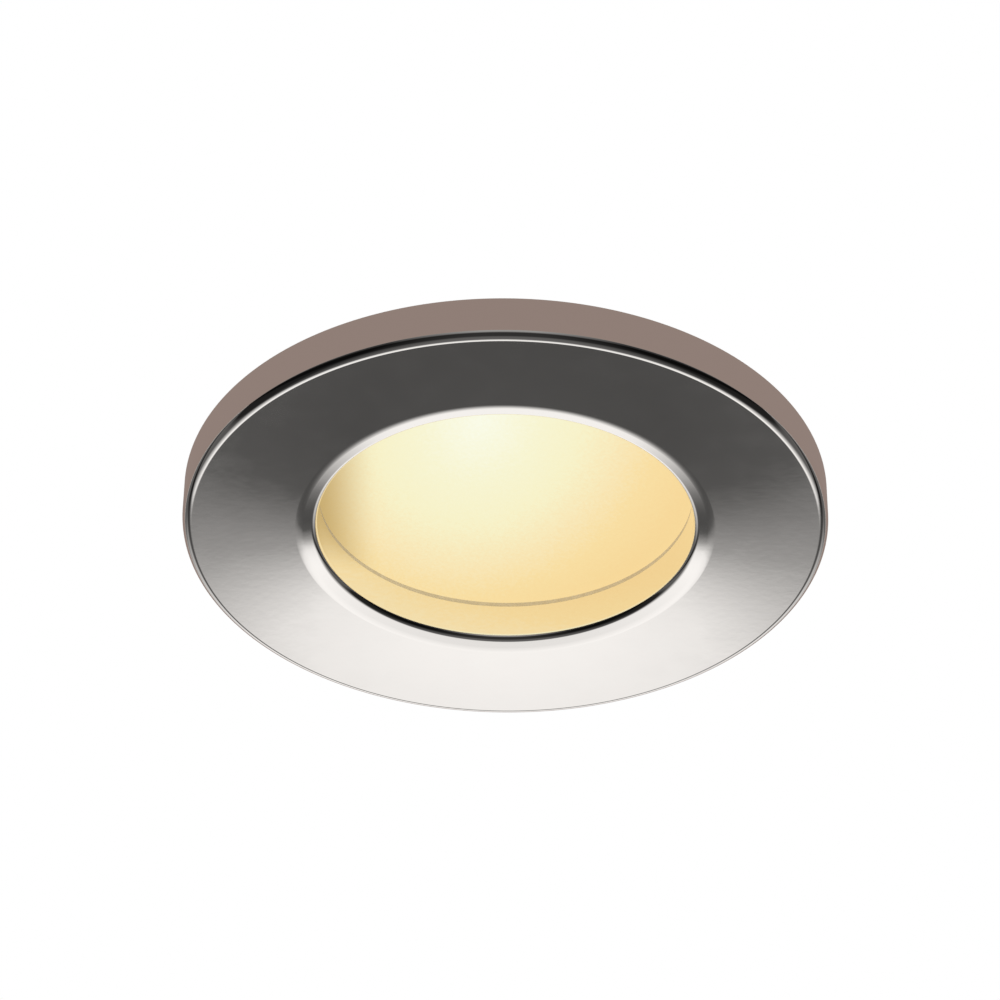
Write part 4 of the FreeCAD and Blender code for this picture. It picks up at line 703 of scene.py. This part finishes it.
def wire_spring_tree(name):
    """Geometry Nodes: a round wire coiled about Y, with a straight leg at either end."""
    tree = bpy.data.node_groups.new(name, "GeometryNodeTree")
    face = tree.interface
    face.new_socket("Geometry", in_out="OUTPUT", socket_type="NodeSocketGeometry")
    for label in ("Wire Radius", "Coil Radius", "Pitch", "First Angle", "Turned Angle", "First Y",
                  "Leg Before", "Leg After"):
        face.new_socket(label, in_out="INPUT", socket_type="NodeSocketFloat")
    face.new_socket("Points", in_out="INPUT", socket_type="NodeSocketInt")
    face.new_socket("Finish", in_out="INPUT", socket_type="NodeSocketMaterial")
    given, result = tree.nodes.new("NodeGroupInput"), tree.nodes.new("NodeGroupOutput")
    want = given.outputs
    line = tree.nodes.new("GeometryNodeCurvePrimitiveLine")
    spaced = tree.nodes.new("GeometryNodeResampleCurve")
    tree.links.new(line.outputs[0], spaced.inputs["Curve"])
    tree.links.new(want["Points"], spaced.inputs["Count"])
    along = tree.nodes.new("GeometryNodeSplineParameter")
    coiled = calc(tree, "MULTIPLY", want["Coil Radius"], want["Turned Angle"])
    legs = calc(tree, "ADD", want["Leg Before"], want["Leg After"])
    whole = calc(tree, "ADD", coiled, legs)
    run = calc(tree, "SUBTRACT", calc(tree, "MULTIPLY", along.outputs["Factor"], whole), want["Leg Before"])
    on_coil = calc(tree, "MINIMUM", calc(tree, "MAXIMUM", run, 0.0), coiled)
    past = calc(tree, "SUBTRACT", run, on_coil)
    turned = calc(tree, "DIVIDE", on_coil, want["Coil Radius"])
    angle = calc(tree, "ADD", want["First Angle"], turned)
    cosine, sine = calc(tree, "COSINE", angle), calc(tree, "SINE", angle)
    x = calc(tree, "SUBTRACT", calc(tree, "MULTIPLY", want["Coil Radius"], cosine),
             calc(tree, "MULTIPLY", past, sine))
    z = calc(tree, "ADD", calc(tree, "MULTIPLY", want["Coil Radius"], sine),
             calc(tree, "MULTIPLY", past, cosine))
    sink = calc(tree, "DIVIDE", calc(tree, "MULTIPLY", want["Pitch"], turned), 2 * math.pi)
    spot = tree.nodes.new("ShaderNodeCombineXYZ")
    tree.links.new(x, spot.inputs["X"])
    tree.links.new(calc(tree, "SUBTRACT", want["First Y"], sink), spot.inputs["Y"])
    tree.links.new(z, spot.inputs["Z"])
    moved = tree.nodes.new("GeometryNodeSetPosition")
    tree.links.new(spaced.outputs[0], moved.inputs["Geometry"])
    tree.links.new(spot.outputs[0], moved.inputs["Position"])
    section = tree.nodes.new("GeometryNodeCurvePrimitiveCircle")
    section.inputs["Resolution"].default_value = WIRE_SIDES
    tree.links.new(want["Wire Radius"], section.inputs["Radius"])
    sweep = tree.nodes.new("GeometryNodeCurveToMesh")
    sweep.inputs["Fill Caps"].default_value = True
    tree.links.new(moved.outputs[0], sweep.inputs["Curve"])
    tree.links.new(section.outputs[0], sweep.inputs["Profile Curve"])
    smooth = tree.nodes.new("GeometryNodeSetShadeSmooth")
    tree.links.new(sweep.outputs[0], smooth.inputs["Geometry"])
    real = tree.nodes.new("GeometryNodeRealizeInstances")
    tree.links.new(smooth.outputs[0], real.inputs["Geometry"])
    finish = tree.nodes.new("GeometryNodeSetMaterial")
    tree.links.new(real.outputs[0], finish.inputs["Geometry"])
    tree.links.new(want["Finish"], finish.inputs["Material"])
    tree.links.new(finish.outputs[0], result.inputs["Geometry"])
    return tree


spring_tree = wire_spring_tree("wire_spring")
spring_turned = SPRING_LAST - SPRING_FIRST
spring_first_y = SPRING_PITCH * spring_turned / (4 * math.pi)
spring_stays = spring_turned - SPRING_MOVING
to_pivot = Matrix.Translation((PIVOT_X, 0.0, PIVOT_Z))
for side, half_turn in (("right", 0.0), ("left", math.pi)):
    place = Matrix.Rotation(half_turn, 4, "Z") @ to_pivot
    common = {"Wire Radius": SPRING_WIRE_R, "Coil Radius": SPRING_COIL_R, "Pitch": SPRING_PITCH,
              "Finish": spring_wire}
    coil = grown("spring_coil_" + side, spring_tree, {
        **common, "First Angle": SPRING_FIRST, "Turned Angle": spring_stays, "First Y": spring_first_y,
        "Leg Before": SPRING_LEG_UP, "Leg After": 0.0, "Points": COIL_POINTS,
    }, "root", place)
    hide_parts("clip_spring_" + side)
    grown("spring_leg_" + side, spring_tree, {
        **common, "First Angle": SPRING_FIRST + spring_stays, "Turned Angle": SPRING_MOVING,
        "First Y": spring_first_y - SPRING_PITCH * spring_stays / (2 * math.pi),
        "Leg Before": 0.0, "Leg After": SPRING_LEG_OUT, "Points": LEG_POINTS,
    }, side + "_clip", place)

# ------------------------------------------------------------------ clip boots
# Silicone boots on the toes of the clips, so that they grip the board without marking it.

boot = rubber("tip_silicone", (0.62, 0.62, 0.60), (0.70, 0.70, 0.68), 0.55)
for side in ("left", "right"):
    dress("clip_tip_" + side, boot)

# ------------------------------------------------------------------ lamp
# Low-voltage reflector lamp: pressed glass with a mirror coating, a clear front cover, a quartz
# capsule with its tungsten coil, and a ceramic base.

QUARTZ_CLEARNESS = 0.95
QUARTZ_IOR = 1.46
GLAZE_COAT = 0.4


def coated_glass():
    material, tree, shader = principled("lamp_mirror", (0.80, 0.82, 0.88, 1.0), 0.12, 0.85)
    cloud = noise(tree, 120.0)
    vary(tree, shader, "Base Color", cloud.outputs["Fac"], (0.72, 0.74, 0.84), (0.86, 0.87, 0.90))
    return material


def clear_glass():
    material, tree, shader = principled("clear_glass", (0.96, 0.97, 0.97, 1.0), 0.03)
    shader.inputs["Transmission Weight"].default_value = QUARTZ_CLEARNESS
    shader.inputs["IOR"].default_value = QUARTZ_IOR
    vary(tree, shader, "Roughness", noise(tree, 60.0).outputs["Fac"], 0.02, 0.05)
    return material


def glazed_ceramic():
    material, tree, shader = principled("glazed_ceramic", (0.82, 0.80, 0.74, 1.0), 0.28)
    cloud = noise(tree, 220.0, 4.0)
    vary(tree, shader, "Base Color", cloud.outputs["Fac"], (0.78, 0.755, 0.69), (0.86, 0.84, 0.78))
    bump(tree, shader, noise(tree, 900.0).outputs["Fac"], 0.1, 0.00005)
    shader.inputs["Coat Weight"].default_value = GLAZE_COAT
    return material


dress("lamp_reflector", coated_glass())
quartz = clear_glass()
dress("lamp_front_cover", quartz)
dress("lamp_capsule", quartz)
ceramic = glazed_ceramic()
for name in ("lamp_base", "lampholder", "terminal_block"):
    dress(name, ceramic)

# ------------------------------------------------------------------ internal leads
# Single cores in a braided glass-fibre sleeve, off-white, with a fine over-and-under braid.


def braided_sleeve():
    material, tree, shader = principled("braided_sleeve", (0.74, 0.72, 0.66, 1.0), 0.7)
    where = add(tree, "TexCoord")
    weave = add(tree, "TexWave", Scale=700.0, Distortion=2.0)
    weave.bands_direction = "DIAGONAL"
    tree.links.new(where.outputs["Object"], weave.inputs["Vector"])
    vary(tree, shader, "Base Color", weave.outputs["Fac"], (0.62, 0.60, 0.54), (0.80, 0.78, 0.73))
    bump(tree, shader, weave.outputs["Fac"], 0.4, 0.00012)
    return material


dress("holder_leads", braided_sleeve())
